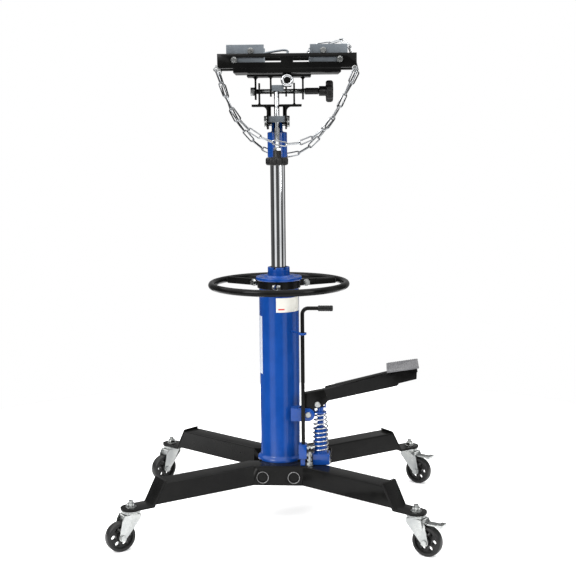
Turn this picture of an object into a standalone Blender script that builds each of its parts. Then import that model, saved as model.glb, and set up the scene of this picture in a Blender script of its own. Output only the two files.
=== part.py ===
"""Two-stage hydraulic transmission jack with a tilting chain saddle, upper stage part raised.

Metres, +Z up, +X to the pedal side. The castors stand on Z = 0 and the origin is the
middle of the ground outline. The base is laid out about BASE, the column and everything
it carries about COLUMN, and the saddle head is swivelled by HEAD_TURN about the column.
"""

import math

import bmesh
import bpy
from mathutils import Matrix, Vector

# ---- Driving dimensions -------------------------------------------------------------

GAP = 0.0003                            # left between pieces that touch

BASE = Vector((-0.010, 0.011, 0.0))     # middle of the four castor stems
COLUMN = BASE + Vector((0.0, -0.0225, 0.0))
HEAD_TURN = math.radians(4.3)

# Legs: two cranked square tubes
BEAM = 0.048
BEAM_WALL = 0.003
BEAM_TOP = 0.1465
BEAM_OFFSET = 0.0795                    # from BASE to each tube's centre line
BEND_X = 0.066
ARM_ANGLE = math.radians(36.6)
ARM_TOP = 0.239                         # arm length along its top, bend to end
ARM_BOTTOM = 0.265
STEM_REACH = 0.316                      # bend to castor stem
CROSS_TUBE_X = 0.037
CROSS_TUBE_Z = 0.119
CROSS_TUBE_R = 0.014
BASE_PLATE_X = (-0.050, 0.122)
BASE_PLATE_T = 0.008

# Castor plates and castors
TAB_TOP = 0.098
TAB_T = 0.005
TAB_LIP = 0.0045                        # height of the end plate above the leg
WHEEL_R = 0.0345
WHEEL_W = 0.024
TRAIL = 0.028
AXLE_R = 0.004
FORK_GAP = 0.0272                       # clear width between the fork's cheeks
FORK_T = 0.0025
CASTORS = {
    "front_left": (-1, -1, 216.0),
    "front_right": (1, -1, -29.0),
    "rear_left": (-1, 1, 226.0),
    "rear_right": (1, 1, -33.0),
}

# Column
TUBE_R = 0.0475
TUBE_BORE_R = 0.0430
FOOT_R = 0.0550
TUBE_BOTTOM = BEAM_TOP + GAP
TUBE_TOP = 0.5815
COLLAR_Z = (0.5630, 0.5815)
COLLAR_R = 0.0515
FLANGE_TOP = 0.5900
FLANGE_R = 0.0545
HOOP_Z = 0.5708
HOOP_R = 0.1601
HOOP_TUBE_R = 0.0082
SPOKE_HEIGHT = 0.016
SPOKE_T = 0.005
SPOKE_ANGLES = {"right": 30.0, "left": 150.0, "front": 270.0}
FIRST_STAGE_R = 0.0250
FIRST_STAGE_BORE_R = 0.0205
NUT_R = 0.0262
NUT_TOP = 0.6120
RAM_R = 0.0175
RAM_Z = (0.4450, 0.9150)

# Pump side, as offsets from COLUMN
PUMP_X = 0.0995
PUMP_Y = -0.047
PUMP_BASE_TOP = 0.172
PUMP_BARREL_TOP = 0.232
PUMP_BARREL_R = 0.0150
SPRING_R = 0.0172
SPRING_WIRE_R = 0.0017
SPRING_Z = (0.1740, 0.2675)
SPRING_TURNS = 9
SPRING_TOP_R = 0.0135                   # its last turns close in below the clevis
SPRING_TAPER_Z = 0.236
PIVOT_X = 0.071
PIVOT_Z = 0.267
PISTON_PIN_X = 0.093
PISTON_PIN_Z = 0.291
ROOT_HALF = 0.011
ARM_HALF = 0.022
ROD_X = 0.0595
ROD_Y = -0.0690
ROD_R = 0.0047
ROD_Z = (0.1990, 0.5230)
GUIDE_T = 0.005

# Head, as offsets from COLUMN in the swivelled frame
SOCKET_R = 0.023
SOCKET_Z = (0.871, 0.929)
NECK_R = 0.013
NECK_TOP = 0.962
SCREW_Y = -0.053
SCREW_R = 0.006
LOWER_PLATE_Z = (0.9875, 0.9925)
YOKE_PIN_Z = 0.948
TRUNNION_Z = 0.959
ROD_AXIS_Z = 1.023
FLANGE_Z = (1.055, 1.060)
ROLL_X = 0.0245
ROLL_Z = 1.046
PLATE_Z = (1.0635, 1.0735)
PLATE_HALF = (0.122, 0.078)
RAIL_HALF = 0.1575
RAIL_TOP = 1.106
RAIL_Y = 0.078                          # outer face of each rail's upright
RAIL_T = 0.004
SLOT_Z = (1.0865, 1.0970)
SLOT_X = (0.014, 0.126)
BRACKET_X = 0.0945
BRACKET_HALF = 0.0425
BRACKET_TOP = 1.126
CHAIN_R = 0.0055

STEEL_TONES = {
    "black_paint": ((0.016, 0.016, 0.017), 0.35, 0.0),
    "blue_paint": ((0.010, 0.068, 0.290), 0.30, 0.0),
    "chrome": ((0.80, 0.81, 0.82), 0.12, 1.0),
    "zinc": ((0.62, 0.63, 0.64), 0.32, 1.0),
    "grey_zinc": ((0.16, 0.18, 0.20), 0.42, 0.8),
    "black_plastic": ((0.020, 0.020, 0.021), 0.50, 0.0),
    "grey_rubber": ((0.23, 0.23, 0.24), 0.70, 0.0),
    "spring_steel": ((0.55, 0.56, 0.58), 0.25, 1.0),
}

# ---- Scene, collections and materials -------------------------------------------------

for old in list(bpy.data.objects):
    bpy.data.objects.remove(old, do_unlink=True)

PARTS = bpy.data.collections.new("transmission_jack")
CUTTERS = bpy.data.collections.new("cutters")
bpy.context.scene.collection.children.link(PARTS)
bpy.context.scene.collection.children.link(CUTTERS)


def finish(obj, tone):
    """Gives the object a material of its own in one of the jack's finishes."""
    colour, roughness, metallic = STEEL_TONES[tone]
    material = bpy.data.materials.new(obj.name + "_" + tone)
    material.use_nodes = True
    shader = material.node_tree.nodes["Principled BSDF"]
    shader.inputs["Base Color"].default_value = (*colour, 1.0)
    shader.inputs["Roughness"].default_value = roughness
    shader.inputs["Metallic"].default_value = metallic
    obj.data.materials.clear()
    obj.data.materials.append(material)
    return obj


def empty(name, location, turn=0.0, parent=None):
    obj = bpy.data.objects.new(name, None)
    obj.location = location
    obj.rotation_euler = (0.0, 0.0, turn)
    obj.parent = parent
    PARTS.objects.link(obj)
    return obj


# ---- Modelling helpers ------------------------------------------------------------------


def add_mesh(name, bm, parent=None, at=(0.0, 0.0, 0.0), smooth=False):
    """Turns a bmesh into an object whose origin is `at` in its parent's frame."""
    bm.normal_update()
    bmesh.ops.recalc_face_normals(bm, faces=bm.faces)
    mesh = bpy.data.meshes.new(name)
    bm.to_mesh(mesh)
    bm.free()
    obj = bpy.data.objects.new(name, mesh)
    obj.parent = parent
    obj.location = at
    PARTS.objects.link(obj)
    if smooth:
        mesh.shade_smooth()
        mesh.set_sharp_from_angle(angle=math.radians(35.0))
    return obj


def box(name, low, high, parent=None, at=(0.0, 0.0, 0.0)):
    """Box between two corners, given in the parent's frame."""
    bm = bmesh.new()
    bmesh.ops.create_cube(bm, size=1.0)
    low, high = Vector(low), Vector(high)
    bmesh.ops.scale(bm, vec=high - low, verts=bm.verts)
    bmesh.ops.translate(bm, vec=(low + high) / 2 - Vector(at), verts=bm.verts)
    return add_mesh(name, bm, parent, at)


def rod(name, start, end, radius, parent=None, at=(0.0, 0.0, 0.0), sides=24):
    """Round bar between two points of the parent's frame."""
    start, end = Vector(start), Vector(end)
    bm = bmesh.new()
    bmesh.ops.create_cone(
        bm, cap_ends=True, segments=sides, radius1=radius, radius2=radius, depth=(end - start).length
    )
    turn = (end - start).to_track_quat("Z", "Y").to_matrix()
    bmesh.ops.rotate(bm, cent=(0.0, 0.0, 0.0), matrix=turn, verts=bm.verts)
    bmesh.ops.translate(bm, vec=(start + end) / 2 - Vector(at), verts=bm.verts)
    return add_mesh(name, bm, parent, at, smooth=True)


def outline_plate(name, outline, low, high, plane="XY", parent=None, at=(0.0, 0.0, 0.0), holes=()):
    """Flat outline with round holes, as thick as from `low` to `high` across its plane.

    The plane is XY, or XZ with the thickness along Y, or YZ with the thickness along X.
    """
    curve = bpy.data.curves.new(name, "CURVE")
    curve.dimensions = "2D"
    curve.fill_mode = "BOTH"
    curve.extrude = (high - low) / 2
    rings = [outline]
    for centre_u, centre_v, radius in holes:
        rings.append(arc((centre_u, centre_v), radius, 0.0, 337.5, 15))
    for ring in rings:
        spline = curve.splines.new("POLY")
        spline.points.add(len(ring) - 1)
        spline.use_cyclic_u = True
        for point, (u, v) in zip(spline.points, ring):
            point.co = (u, v, 0.0, 1.0)
    flat = bpy.data.objects.new(name + "_outline", curve)
    PARTS.objects.link(flat)
    mesh = bpy.data.meshes.new_from_object(flat.evaluated_get(bpy.context.evaluated_depsgraph_get()))
    bpy.data.objects.remove(flat, do_unlink=True)
    bm = bmesh.new()
    bm.from_mesh(mesh)
    bpy.data.meshes.remove(mesh)
    bmesh.ops.remove_doubles(bm, verts=bm.verts, dist=1e-6)
    middle = (low + high) / 2
    for vert in bm.verts:
        u, v, w = vert.co
        vert.co = {"XY": (u, v, w + middle), "XZ": (u, w + middle, v), "YZ": (w + middle, u, v)}[plane]
        vert.co -= Vector(at)
    return add_mesh(name, bm, parent, at)


def arc(centre, radius, start, end, steps):
    """Points on a circle from one angle to another, in degrees."""
    points = []
    for step in range(steps + 1):
        angle = math.radians(start + (end - start) * step / steps)
        points.append((centre[0] + radius * math.cos(angle), centre[1] + radius * math.sin(angle)))
    return points


def turned(name, profile, parent=None, at=(0.0, 0.0, 0.0), steps=40, closed=False):
    """Turned piece: (radius, height) points run down the outer side, round the Z axis."""
    mesh = bpy.data.meshes.new(name)
    edges = [(i, i + 1) for i in range(len(profile) - 1)]
    if closed:
        edges.append((len(profile) - 1, 0))
    mesh.from_pydata([(r, 0.0, z) for r, z in profile], edges, [])
    obj = bpy.data.objects.new(name, mesh)
    obj.parent = parent
    obj.location = at
    PARTS.objects.link(obj)
    screw = obj.modifiers.new("Turn", "SCREW")
    screw.steps = steps
    screw.render_steps = steps
    screw.use_merge_vertices = True
    screw.merge_threshold = 1e-5
    screw.use_smooth_shade = True
    return obj


def bent_bar(name, points, radius, parent=None, at=(0.0, 0.0, 0.0), cyclic=False, resolution=2):
    """Round bar, wire or chain envelope along points of the parent's frame."""
    curve = bpy.data.curves.new(name, "CURVE")
    curve.dimensions = "3D"
    curve.bevel_depth = radius
    curve.bevel_resolution = resolution
    curve.use_fill_caps = True
    spline = curve.splines.new("POLY")
    spline.points.add(len(points) - 1)
    spline.use_cyclic_u = cyclic
    for point, place in zip(spline.points, points):
        point.co = (*(Vector(place) - Vector(at)), 1.0)
    obj = bpy.data.objects.new(name, curve)
    obj.parent = parent
    obj.location = at
    PARTS.objects.link(obj)
    return obj


def as_mesh(obj):
    """Bakes an object's modifiers or curve into one welded mesh, so it can be cut."""
    bpy.context.view_layer.update()
    mesh = bpy.data.meshes.new_from_object(obj.evaluated_get(bpy.context.evaluated_depsgraph_get()))
    bm = bmesh.new()
    bm.from_mesh(mesh)
    bmesh.ops.remove_doubles(bm, verts=bm.verts, dist=1e-6)
    bpy.data.meshes.remove(mesh)
    name, parent, at = obj.name, obj.parent, obj.location.copy()
    bpy.data.objects.remove(obj, do_unlink=True)
    return add_mesh(name, bm, parent, at, smooth=True)


def combine(obj, operation, others):
    """Joins others to the object, cuts them from it, or keeps what they share."""
    for other in others:
        PARTS.objects.unlink(other)
        CUTTERS.objects.link(other)
        other.hide_render = True
        other.display_type = "WIRE"
        boolean = obj.modifiers.new(operation.title(), "BOOLEAN")
        boolean.operation = operation
        boolean.solver = "EXACT"
        boolean.object = other
    return obj


def join(obj, *others):
    return combine(obj, "UNION", others)


def cut(obj, *others):
    return combine(obj, "DIFFERENCE", others)


# ---- Legs, castor plates and base ------------------------------------------------------

base = empty("base", BASE)
column = empty("column", COLUMN)
head = empty("head", COLUMN, HEAD_TURN)


def leg_outline(half, reach):
    """Plan of a cranked leg, `half` wide each side of its centre line."""
    along = Vector((math.cos(ARM_ANGLE), -math.sin(ARM_ANGLE)))
    across = Vector((math.sin(ARM_ANGLE), math.cos(ARM_ANGLE)))
    bend = Vector((BEND_X, 0.0))
    mitre = half * math.tan(ARM_ANGLE / 2)
    inner = [Vector((BEND_X + mitre, half)), bend + along * reach + across * half]
    outer = [bend + along * reach - across * half, Vector((BEND_X - mitre, -half))]
    right = inner + outer
    left = [Vector((-p.x, p.y)) for p in reversed(right)]
    return [tuple(p) for p in right + left]


def make_leg(name, side):
    """Cranked square tube: middle across the jack, arms splayed towards Y * side."""
    y = side * BEAM_OFFSET
    low, high = BEAM_TOP - BEAM, BEAM_TOP

    # leg_outline's arms point to -Y, so the rear leg is its mirror image
    def place(half, reach):
        return [(x, y - side * v) for x, v in leg_outline(half, reach)]

    leg = outline_plate(name, place(BEAM / 2, ARM_BOTTOM), low, high, parent=base)
    bore = outline_plate(
        name + "_bore", place(BEAM / 2 - BEAM_WALL, ARM_BOTTOM + 0.02), low + BEAM_WALL,
        high - BEAM_WALL, parent=base,
    )
    ends = []
    for hand in (-1, 1):
        ends.append(slanted_end(f"{name}_end_{hand}", hand, side))
    holes = []
    for hand in (-1, 1):
        x = hand * CROSS_TUBE_X
        holes.append(rod(
            f"{name}_hole_{hand}", (x, y - BEAM, CROSS_TUBE_Z), (x, y + BEAM, CROSS_TUBE_Z),
            CROSS_TUBE_R + GAP, base,
        ))
    cut(leg, bore, *ends, *holes)
    return finish(leg, "black_paint")


def arm_frame(hand, side):
    """Matrix whose X runs out along an arm from its bend, Y across it and Z up."""
    along = Vector((hand * math.cos(ARM_ANGLE), side * math.sin(ARM_ANGLE), 0.0))
    across = Vector((-along.y, along.x, 0.0))
    frame = Matrix((along, across, Vector((0.0, 0.0, 1.0)))).transposed().to_4x4()
    frame.translation = (hand * BEND_X, side * BEAM_OFFSET, 0.0)
    return frame


END_SLOPE = (ARM_BOTTOM - ARM_TOP) / BEAM


def end_reach(z):
    """Distance along an arm of its slanted end at height z."""
    return ARM_TOP + END_SLOPE * (BEAM_TOP - z)


def slanted_end(name, hand, side):
    """Wedge that trims an arm to its slanted end."""
    low, high = BEAM_TOP - BEAM - 0.01, BEAM_TOP + 0.01
    profile = [(end_reach(low), low), (0.34, low), (0.34, high), (end_reach(high), high)]
    wedge = outline_plate(name, profile, -BEAM, BEAM, plane="XZ", parent=base)
    wedge.matrix_local = arm_frame(hand, side)
    return wedge


def make_castor_plate(name, hand, side):
    """Bent strip that closes an arm and carries the castor's stem and nut on its tab."""
    top = BEAM_TOP + TAB_LIP
    thick = TAB_T * math.sqrt(1 + END_SLOPE**2)
    bottom = TAB_TOP - TAB_T
    inner = [(end_reach(top) + GAP, top), (end_reach(bottom) + GAP, bottom)]
    tip = STEM_REACH + BEAM / 2
    outer = [(tip, bottom), (tip, TAB_TOP), (end_reach(TAB_TOP) + GAP + thick, TAB_TOP)]
    profile = inner + outer + [(end_reach(top) + GAP + thick, top)]
    plate = outline_plate(name, profile, -BEAM / 2, BEAM / 2, plane="XZ", parent=base)
    nose = [(0.20, -BEAM / 2 - 0.002)] + arc((STEM_REACH, 0.0), BEAM / 2, -90.0, 90.0, 12)
    nose += [(0.20, BEAM / 2 + 0.002)]
    keep = outline_plate(name + "_plan", nose, bottom - 0.01, top + 0.01, parent=base)
    stem = rod(name + "_stem", (STEM_REACH, 0, TAB_TOP - 0.002), (STEM_REACH, 0, 0.1125), 0.005, base)
    nut = rod(name + "_nut", (STEM_REACH, 0, TAB_TOP - 0.001), (STEM_REACH, 0, 0.1065), 0.009, base, sides=6)
    for piece in (plate, keep, stem, nut):
        piece.matrix_local = arm_frame(hand, side)
    combine(plate, "INTERSECT", [keep])
    join(plate, nut, stem)
    return finish(plate, "black_paint")


make_leg("front_leg_tube", -1)
make_leg("rear_leg_tube", 1)
for corner, (hand, side, _) in CASTORS.items():
    make_castor_plate(corner + "_castor_plate", hand, side)

plate_y = BEAM_OFFSET - BEAM / 2 - GAP
base_plate = box(
    "base_plate", (BASE_PLATE_X[0], -plate_y, BEAM_TOP - BASE_PLATE_T),
    (BASE_PLATE_X[1], plate_y, BEAM_TOP), base,
)
finish(base_plate, "black_paint")

tube_y = BEAM_OFFSET + BEAM / 2 + 0.001
for hand, word in ((-1, "left"), (1, "right")):
    x = hand * CROSS_TUBE_X
    cross_tube = rod(
        f"{word}_cross_tube", (x, -tube_y, CROSS_TUBE_Z), (x, tube_y, CROSS_TUBE_Z), CROSS_TUBE_R, base
    )
    bore = rod(f"{word}_cross_bore", (x, -0.2, CROSS_TUBE_Z), (x, 0.2, CROSS_TUBE_Z), 0.0115, base)
    cut(cross_tube, bore)
    finish(cross_tube, "black_paint")

# ---- Castors ---------------------------------------------------------------------------


def make_castor(corner, hand, side, heading):
    """Swivelling fork, wheel and, on the pedal side, the brake pedal."""
    stem_place = BASE + arm_frame(hand, side) @ Vector((STEM_REACH, 0.0, 0.0))
    swivel = empty(corner + "_swivel", stem_place, math.radians(heading))
    race_top = TAB_TOP - TAB_T - GAP
    crown = race_top - 0.009
    fork = rod(f"{corner}_fork", (0, 0, crown - 0.001), (0, 0, race_top), 0.0185, swivel)
    half = FORK_GAP / 2 + FORK_T
    bridge = box(f"{corner}_bridge", (-0.0175, -half, crown - 0.003), (0.022, half, crown), swivel)
    cheek_plan = [(-0.0175, crown), (-0.0175, crown - 0.010)]
    cheek_plan += arc((TRAIL, WHEEL_R), 0.0085, 205.0, 380.0, 8) + [(0.0285, crown - 0.012), (0.022, crown)]
    cheeks = []
    for word, low in (("a", FORK_GAP / 2), ("b", -half)):
        cheeks.append(outline_plate(
            f"{corner}_cheek_{word}", cheek_plan, low, low + FORK_T, plane="XZ", parent=swivel
        ))
    axle = rod(
        f"{corner}_axle", (TRAIL, -half - 0.003, WHEEL_R), (TRAIL, half + 0.003, WHEEL_R), AXLE_R, swivel
    )
    join(fork, bridge, *cheeks, axle)
    finish(fork, "zinc")

    width = WHEEL_W / 2
    rim = 0.0025
    profile = [
        (AXLE_R + 0.0002, width), (0.010, width), (0.012, width - 0.004), (0.025, width - 0.004),
        (0.028, width - 0.001), (WHEEL_R - rim, width - 0.001), (WHEEL_R, width - 2 * rim),
    ]
    profile += [(r, -w) for r, w in reversed(profile)]
    wheel = turned(f"{corner}_wheel", profile, swivel, (TRAIL, 0.0, WHEEL_R), steps=36, closed=True)
    wheel.rotation_euler = (math.radians(90.0), 0.0, 0.0)
    finish(wheel, "black_plastic")

    if hand > 0:
        hinge = (0.0240, 0.0, 0.0765)
        pedal = box(f"{corner}_brake", (0.0240, -0.011, 0.0735), (0.0640, 0.011, 0.0765), swivel, hinge)
        lip = box(f"{corner}_brake_lip", (0.0560, -0.013, 0.0725), (0.0680, 0.013, 0.0785), swivel, hinge)
        join(pedal, lip)
        finish(pedal, "zinc")


for corner, (hand, side, heading) in CASTORS.items():
    make_castor(corner, hand, side, heading)

# ---- Column, hoop and telescopic stages ----------------------------------------------------

column_tube = turned("column_tube", [
    (TUBE_BORE_R, TUBE_TOP), (TUBE_R, TUBE_TOP), (TUBE_R, TUBE_BOTTOM + 0.012),
    (TUBE_R + 0.0025, TUBE_BOTTOM + 0.008), (FOOT_R, TUBE_BOTTOM + 0.005), (FOOT_R, TUBE_BOTTOM),
    (0.004, TUBE_BOTTOM), (0.004, TUBE_BOTTOM + 0.008), (TUBE_BORE_R, TUBE_BOTTOM + 0.008),
], column, steps=48, closed=True)
finish(column_tube, "blue_paint")

column_head = turned("column_head", [
    (FIRST_STAGE_R + GAP, FLANGE_TOP), (FLANGE_R - 0.001, FLANGE_TOP), (FLANGE_R, FLANGE_TOP - 0.001),
    (FLANGE_R, TUBE_TOP + GAP), (TUBE_BORE_R - GAP, TUBE_TOP + GAP), (TUBE_BORE_R - GAP, 0.560),
    (FIRST_STAGE_R + GAP, 0.560),
], column, steps=48, closed=True)
finish(column_head, "blue_paint")

collar = turned("hoop_collar", [
    (TUBE_R + GAP, COLLAR_Z[1]), (COLLAR_R, COLLAR_Z[1]), (COLLAR_R, COLLAR_Z[0]),
    (TUBE_R + GAP, COLLAR_Z[0]),
], column, steps=48, closed=True)
finish(collar, "black_paint")

bpy.ops.mesh.primitive_torus_add(
    major_radius=HOOP_R, minor_radius=HOOP_TUBE_R, major_segments=64, minor_segments=12
)
hoop = bpy.context.active_object
hoop.name = "steering_hoop"
hoop.parent = column
hoop.location = (0.0, 0.0, HOOP_Z)
hoop.data.shade_smooth()
for collection in list(hoop.users_collection):
    collection.objects.unlink(hoop)
PARTS.objects.link(hoop)
finish(hoop, "black_paint")

for word, angle in SPOKE_ANGLES.items():
    inner = COLLAR_R + 0.0006
    outer = HOOP_R - HOOP_TUBE_R - GAP
    spoke = box(
        f"{word}_hoop_spoke", (inner, -SPOKE_T / 2, HOOP_Z - SPOKE_HEIGHT / 2),
        (outer, SPOKE_T / 2, HOOP_Z + SPOKE_HEIGHT / 2), column,
    )
    spoke.rotation_euler = (0.0, 0.0, math.radians(angle))
    finish(spoke, "black_paint")

first_stage = turned("first_stage_tube", [
    (FIRST_STAGE_BORE_R, FLANGE_TOP + GAP), (FIRST_STAGE_R, FLANGE_TOP + GAP), (FIRST_STAGE_R, 0.200),
    (TUBE_BORE_R - 0.0004, 0.200), (TUBE_BORE_R - 0.0004, 0.185), (FIRST_STAGE_BORE_R, 0.185),
], column, closed=True)
finish(first_stage, "chrome")

first_stage_nut = turned("first_stage_nut", [
    (RAM_R + 0.0002, NUT_TOP), (NUT_R - 0.0015, NUT_TOP), (NUT_R, NUT_TOP - 0.0015),
    (NUT_R, FLANGE_TOP + 2 * GAP), (RAM_R + 0.0002, FLANGE_TOP + 2 * GAP),
], column, closed=True)
finish(first_stage_nut, "blue_paint")

ram = turned("second_stage_ram", [
    (0.0, RAM_Z[1]), (RAM_R - 0.001, RAM_Z[1]), (RAM_R, RAM_Z[1] - 0.001), (RAM_R, RAM_Z[0] + 0.015),
    (FIRST_STAGE_BORE_R - 0.0003, RAM_Z[0] + 0.015), (FIRST_STAGE_BORE_R - 0.0003, RAM_Z[0]),
    (0.0, RAM_Z[0]),
], column)
finish(ram, "chrome")

# ---- Pump, pedal and release rod ---------------------------------------------------------

pump_foot = TUBE_BOTTOM
pump_body = box(
    "pump_body", (0.0815, -0.068, pump_foot), (0.1210, -0.028, PUMP_BASE_TOP), column
)
barrel = rod(
    "pump_barrel", (PUMP_X, PUMP_Y, 0.160), (PUMP_X, PUMP_Y, PUMP_BARREL_TOP), PUMP_BARREL_R, column, sides=32
)
barrel_bore = rod("pump_bore", (PUMP_X, PUMP_Y, 0.176), (PUMP_X, PUMP_Y, 0.25), 0.0082, column)
join(pump_body, barrel)
cut(pump_body, barrel_bore)
finish(pump_body, "blue_paint")

valve_block = box("valve_block", (0.0490, -0.0800, 0.1650), (0.0675, -0.0520, 0.1980), column)
valve_foot = box("valve_foot", (0.0530, -0.0740, pump_foot), (0.0635, -0.0560, 0.1660), column)
fitting = rod("valve_fitting", (0.0670, -0.060, 0.170), (0.0810, -0.060, 0.170), 0.0045, column, sides=16)
join(valve_block, valve_foot, fitting)
finish(valve_block, "blue_paint")

piston_top = PISTON_PIN_Z + 0.010
piston = rod("pump_piston", (PUMP_X, PUMP_Y, 0.200), (PUMP_X, PUMP_Y, 0.2835), 0.0079, column)
seat = rod(
    "spring_seat", (PUMP_X, PUMP_Y, SPRING_Z[1] + SPRING_WIRE_R + GAP),
    (PUMP_X, PUMP_Y, SPRING_Z[1] + SPRING_WIRE_R + 0.0030), SPRING_TOP_R + 0.0012, column,
)
clevis = box("piston_clevis", (0.0830, PUMP_Y - 0.007, 0.2825), (0.1130, PUMP_Y + 0.007, piston_top), column)
slot = box(
    "clevis_slot", (0.0865, PUMP_Y - 0.010, PISTON_PIN_Z - 0.0065),
    (0.1095, PUMP_Y + 0.010, PISTON_PIN_Z + 0.0065), column,
)
join(piston, seat, clevis)
cut(piston, slot)
finish(piston, "blue_paint")

spring_points = []
spring_steps = SPRING_TURNS * 16
for step in range(spring_steps + 1):
    part = step / spring_steps
    angle = math.tau * SPRING_TURNS * part
    z = SPRING_Z[0] + (SPRING_Z[1] - SPRING_Z[0]) * part
    closing = max(0.0, (z - SPRING_TAPER_Z) / (SPRING_Z[1] - SPRING_TAPER_Z))
    r = SPRING_R + (SPRING_TOP_R - SPRING_R) * closing
    spring_points.append((PUMP_X + r * math.cos(angle), PUMP_Y + r * math.sin(angle), z))
spring = bent_bar("return_spring", spring_points, SPRING_WIRE_R, column, (PUMP_X, PUMP_Y, SPRING_Z[0]))
finish(spring, "spring_steel")

lug_plan = [(0.030, PIVOT_Z - 0.0155)] + arc((PIVOT_X, PIVOT_Z), 0.0155, -90.0, 90.0, 12)
lug_plan += [(0.030, PIVOT_Z + 0.0155)]
lug = outline_plate(
    "pedal_lug", lug_plan, PUMP_Y - 0.0160, PUMP_Y - 0.0115, "XZ", column, holes=[(PIVOT_X, PIVOT_Z, 0.0053)]
)
lug_back = outline_plate(
    "pedal_lug_back", lug_plan, PUMP_Y + 0.0115, PUMP_Y + 0.0160, "XZ", column,
    holes=[(PIVOT_X, PIVOT_Z, 0.0053)],
)
lug_web = box(
    "pedal_lug_web", (0.030, PUMP_Y - 0.0150, PIVOT_Z - 0.0155),
    (0.0500, PUMP_Y + 0.0150, PIVOT_Z + 0.0155), column,
)
lug_relief = rod("pedal_lug_relief", (0, 0, 0.2), (0, 0, 0.32), TUBE_R + GAP, column, sides=96)
join(lug, lug_web, lug_back)
cut(lug, lug_relief)
finish(lug, "blue_paint")

pivot_pin = rod(
    "pedal_pivot_pin", (PIVOT_X, PUMP_Y - 0.0163, PIVOT_Z),
    (PIVOT_X, PUMP_Y + 0.0190, PIVOT_Z), 0.0050, column,
)
finish(pivot_pin, "zinc")

PEDAL_ORIGIN = (PIVOT_X, PUMP_Y, PIVOT_Z)
ARM_SLOPE = 0.2546


def arm_line(x):
    """Height of the pedal arm's top edge at x."""
    return 0.329 + ARM_SLOPE * (x - 0.110)


root_plan = [(0.060, 0.317), (0.060, 0.272)] + arc((PIVOT_X, PIVOT_Z), 0.0110, 180.0, 360.0, 10)
root_plan += [(0.0820, 0.2800), (0.098, 0.2830), (0.112, 0.2930), (0.118, 0.300), (0.128, 0.305)]
root_plan += [(0.128, arm_line(0.128) - 0.002)]
root_plan += [(0.110, 0.327)]
lever = outline_plate(
    "pedal_lever", root_plan, PUMP_Y - ROOT_HALF, PUMP_Y + ROOT_HALF, "XZ", column, PEDAL_ORIGIN
)
arm_plan = [
    (0.110, arm_line(0.110)), (0.118, 0.303), (0.154, 0.311), (0.280, 0.340), (0.284, 0.346),
    (0.325, 0.3565),
    (0.326, arm_line(0.326)),
]
arm_piece = outline_plate("pedal_arm", arm_plan, PUMP_Y - ARM_HALF, PUMP_Y + ARM_HALF, "XZ", column)
root_inner = [
    (0.050, 0.314), (0.050, 0.240), (0.1145, 0.240), (0.1145, 0.3254), (0.110, 0.3240), (0.063, 0.3140),
]
root_hollow = outline_plate("root_hollow", root_inner, PUMP_Y - 0.0082, PUMP_Y + 0.0082, "XZ", column)
arm_inner = [
    (0.1210, arm_line(0.1210) - 0.003), (0.1210, 0.280), (0.280, 0.320), (0.322, 0.340),
    (0.322, arm_line(0.322) - 0.003),
]
arm_hollow = outline_plate(
    "arm_hollow", arm_inner, PUMP_Y - ARM_HALF + 0.003, PUMP_Y + ARM_HALF - 0.003, "XZ", column
)
piston_pin = rod(
    "piston_pin", (PISTON_PIN_X, PUMP_Y - 0.0125, PISTON_PIN_Z),
    (PISTON_PIN_X, PUMP_Y + 0.0125, PISTON_PIN_Z),
    0.0042, column,
)
pivot_hole = rod(
    "pivot_hole", (PIVOT_X, PUMP_Y - 0.02, PIVOT_Z), (PIVOT_X, PUMP_Y + 0.02, PIVOT_Z), 0.0053, column
)

PAD_TILT = 0.151
PAD_MIDDLE = Vector((0.2925, PUMP_Y, 0.3835))


def pad_shape(name, low, high, at):
    """Box square with the foot pad's tilted frame, placed at the pad's middle."""
    piece = box(name, low, high, column)
    tilt = Matrix.Rotation(-PAD_TILT, 4, "Y")
    piece.data.transform(Matrix.Translation(-Vector(at)) @ Matrix.Translation(PAD_MIDDLE) @ tilt)
    piece.location = at
    return piece


pad_rest = pad_shape("pad_rest", (-0.026, -0.020, -0.0160), (0.033, 0.020, -0.0028), (0, 0, 0))
cut(lever, root_hollow)
join(lever, arm_piece)
cut(lever, arm_hollow, pivot_hole)
join(lever, piston_pin, pad_rest)
finish(lever, "black_paint")

pad = pad_shape("pedal_pad", (-0.0375, -0.046, -0.0025), (0.0375, 0.046, 0.0025), PEDAL_ORIGIN)
finish(pad, "grey_rubber")

ROD_ORIGIN = (ROD_X, ROD_Y, ROD_Z[0])
bend_r = 0.014
rod_points = [(ROD_X, ROD_Y, ROD_Z[0]), (ROD_X, ROD_Y, 0.35)]
for x, z in arc((ROD_X + bend_r, ROD_Z[1] - bend_r), bend_r, 180.0, 90.0, 6):
    rod_points.append((x, ROD_Y, z))
rod_points.append((0.0960, ROD_Y, ROD_Z[1]))
release_rod = bent_bar("release_rod", rod_points, ROD_R, column, ROD_ORIGIN, resolution=3)
finish(release_rod, "black_paint")
release_grip = rod(
    "release_grip", (0.0963, ROD_Y, ROD_Z[1]), (0.1310, ROD_Y, ROD_Z[1]), 0.0070, column, ROD_ORIGIN
)
finish(release_grip, "black_plastic")

guide_at = Vector((ROD_X, ROD_Y, 0.463))
toward = Vector((-ROD_X, -ROD_Y, 0.0)).normalized()
guide_up = Vector((0.0, 0.0, GUIDE_T / 2))
rod_guide = rod("rod_guide", guide_at - guide_up, guide_at + guide_up, 0.0095, column)
guide_arm = rod("guide_arm", guide_at + toward * 0.006, guide_at + toward * 0.046, 0.0022, column, sides=12)
guide_bore = rod("guide_bore", guide_at - guide_up * 3, guide_at + guide_up * 3, ROD_R + 0.0005, column)
guide_relief = rod("guide_relief", (0, 0, 0.44), (0, 0, 0.49), TUBE_R + GAP, column, sides=96)
join(rod_guide, guide_arm)
cut(rod_guide, guide_bore, guide_relief)
finish(rod_guide, "blue_paint")

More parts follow.
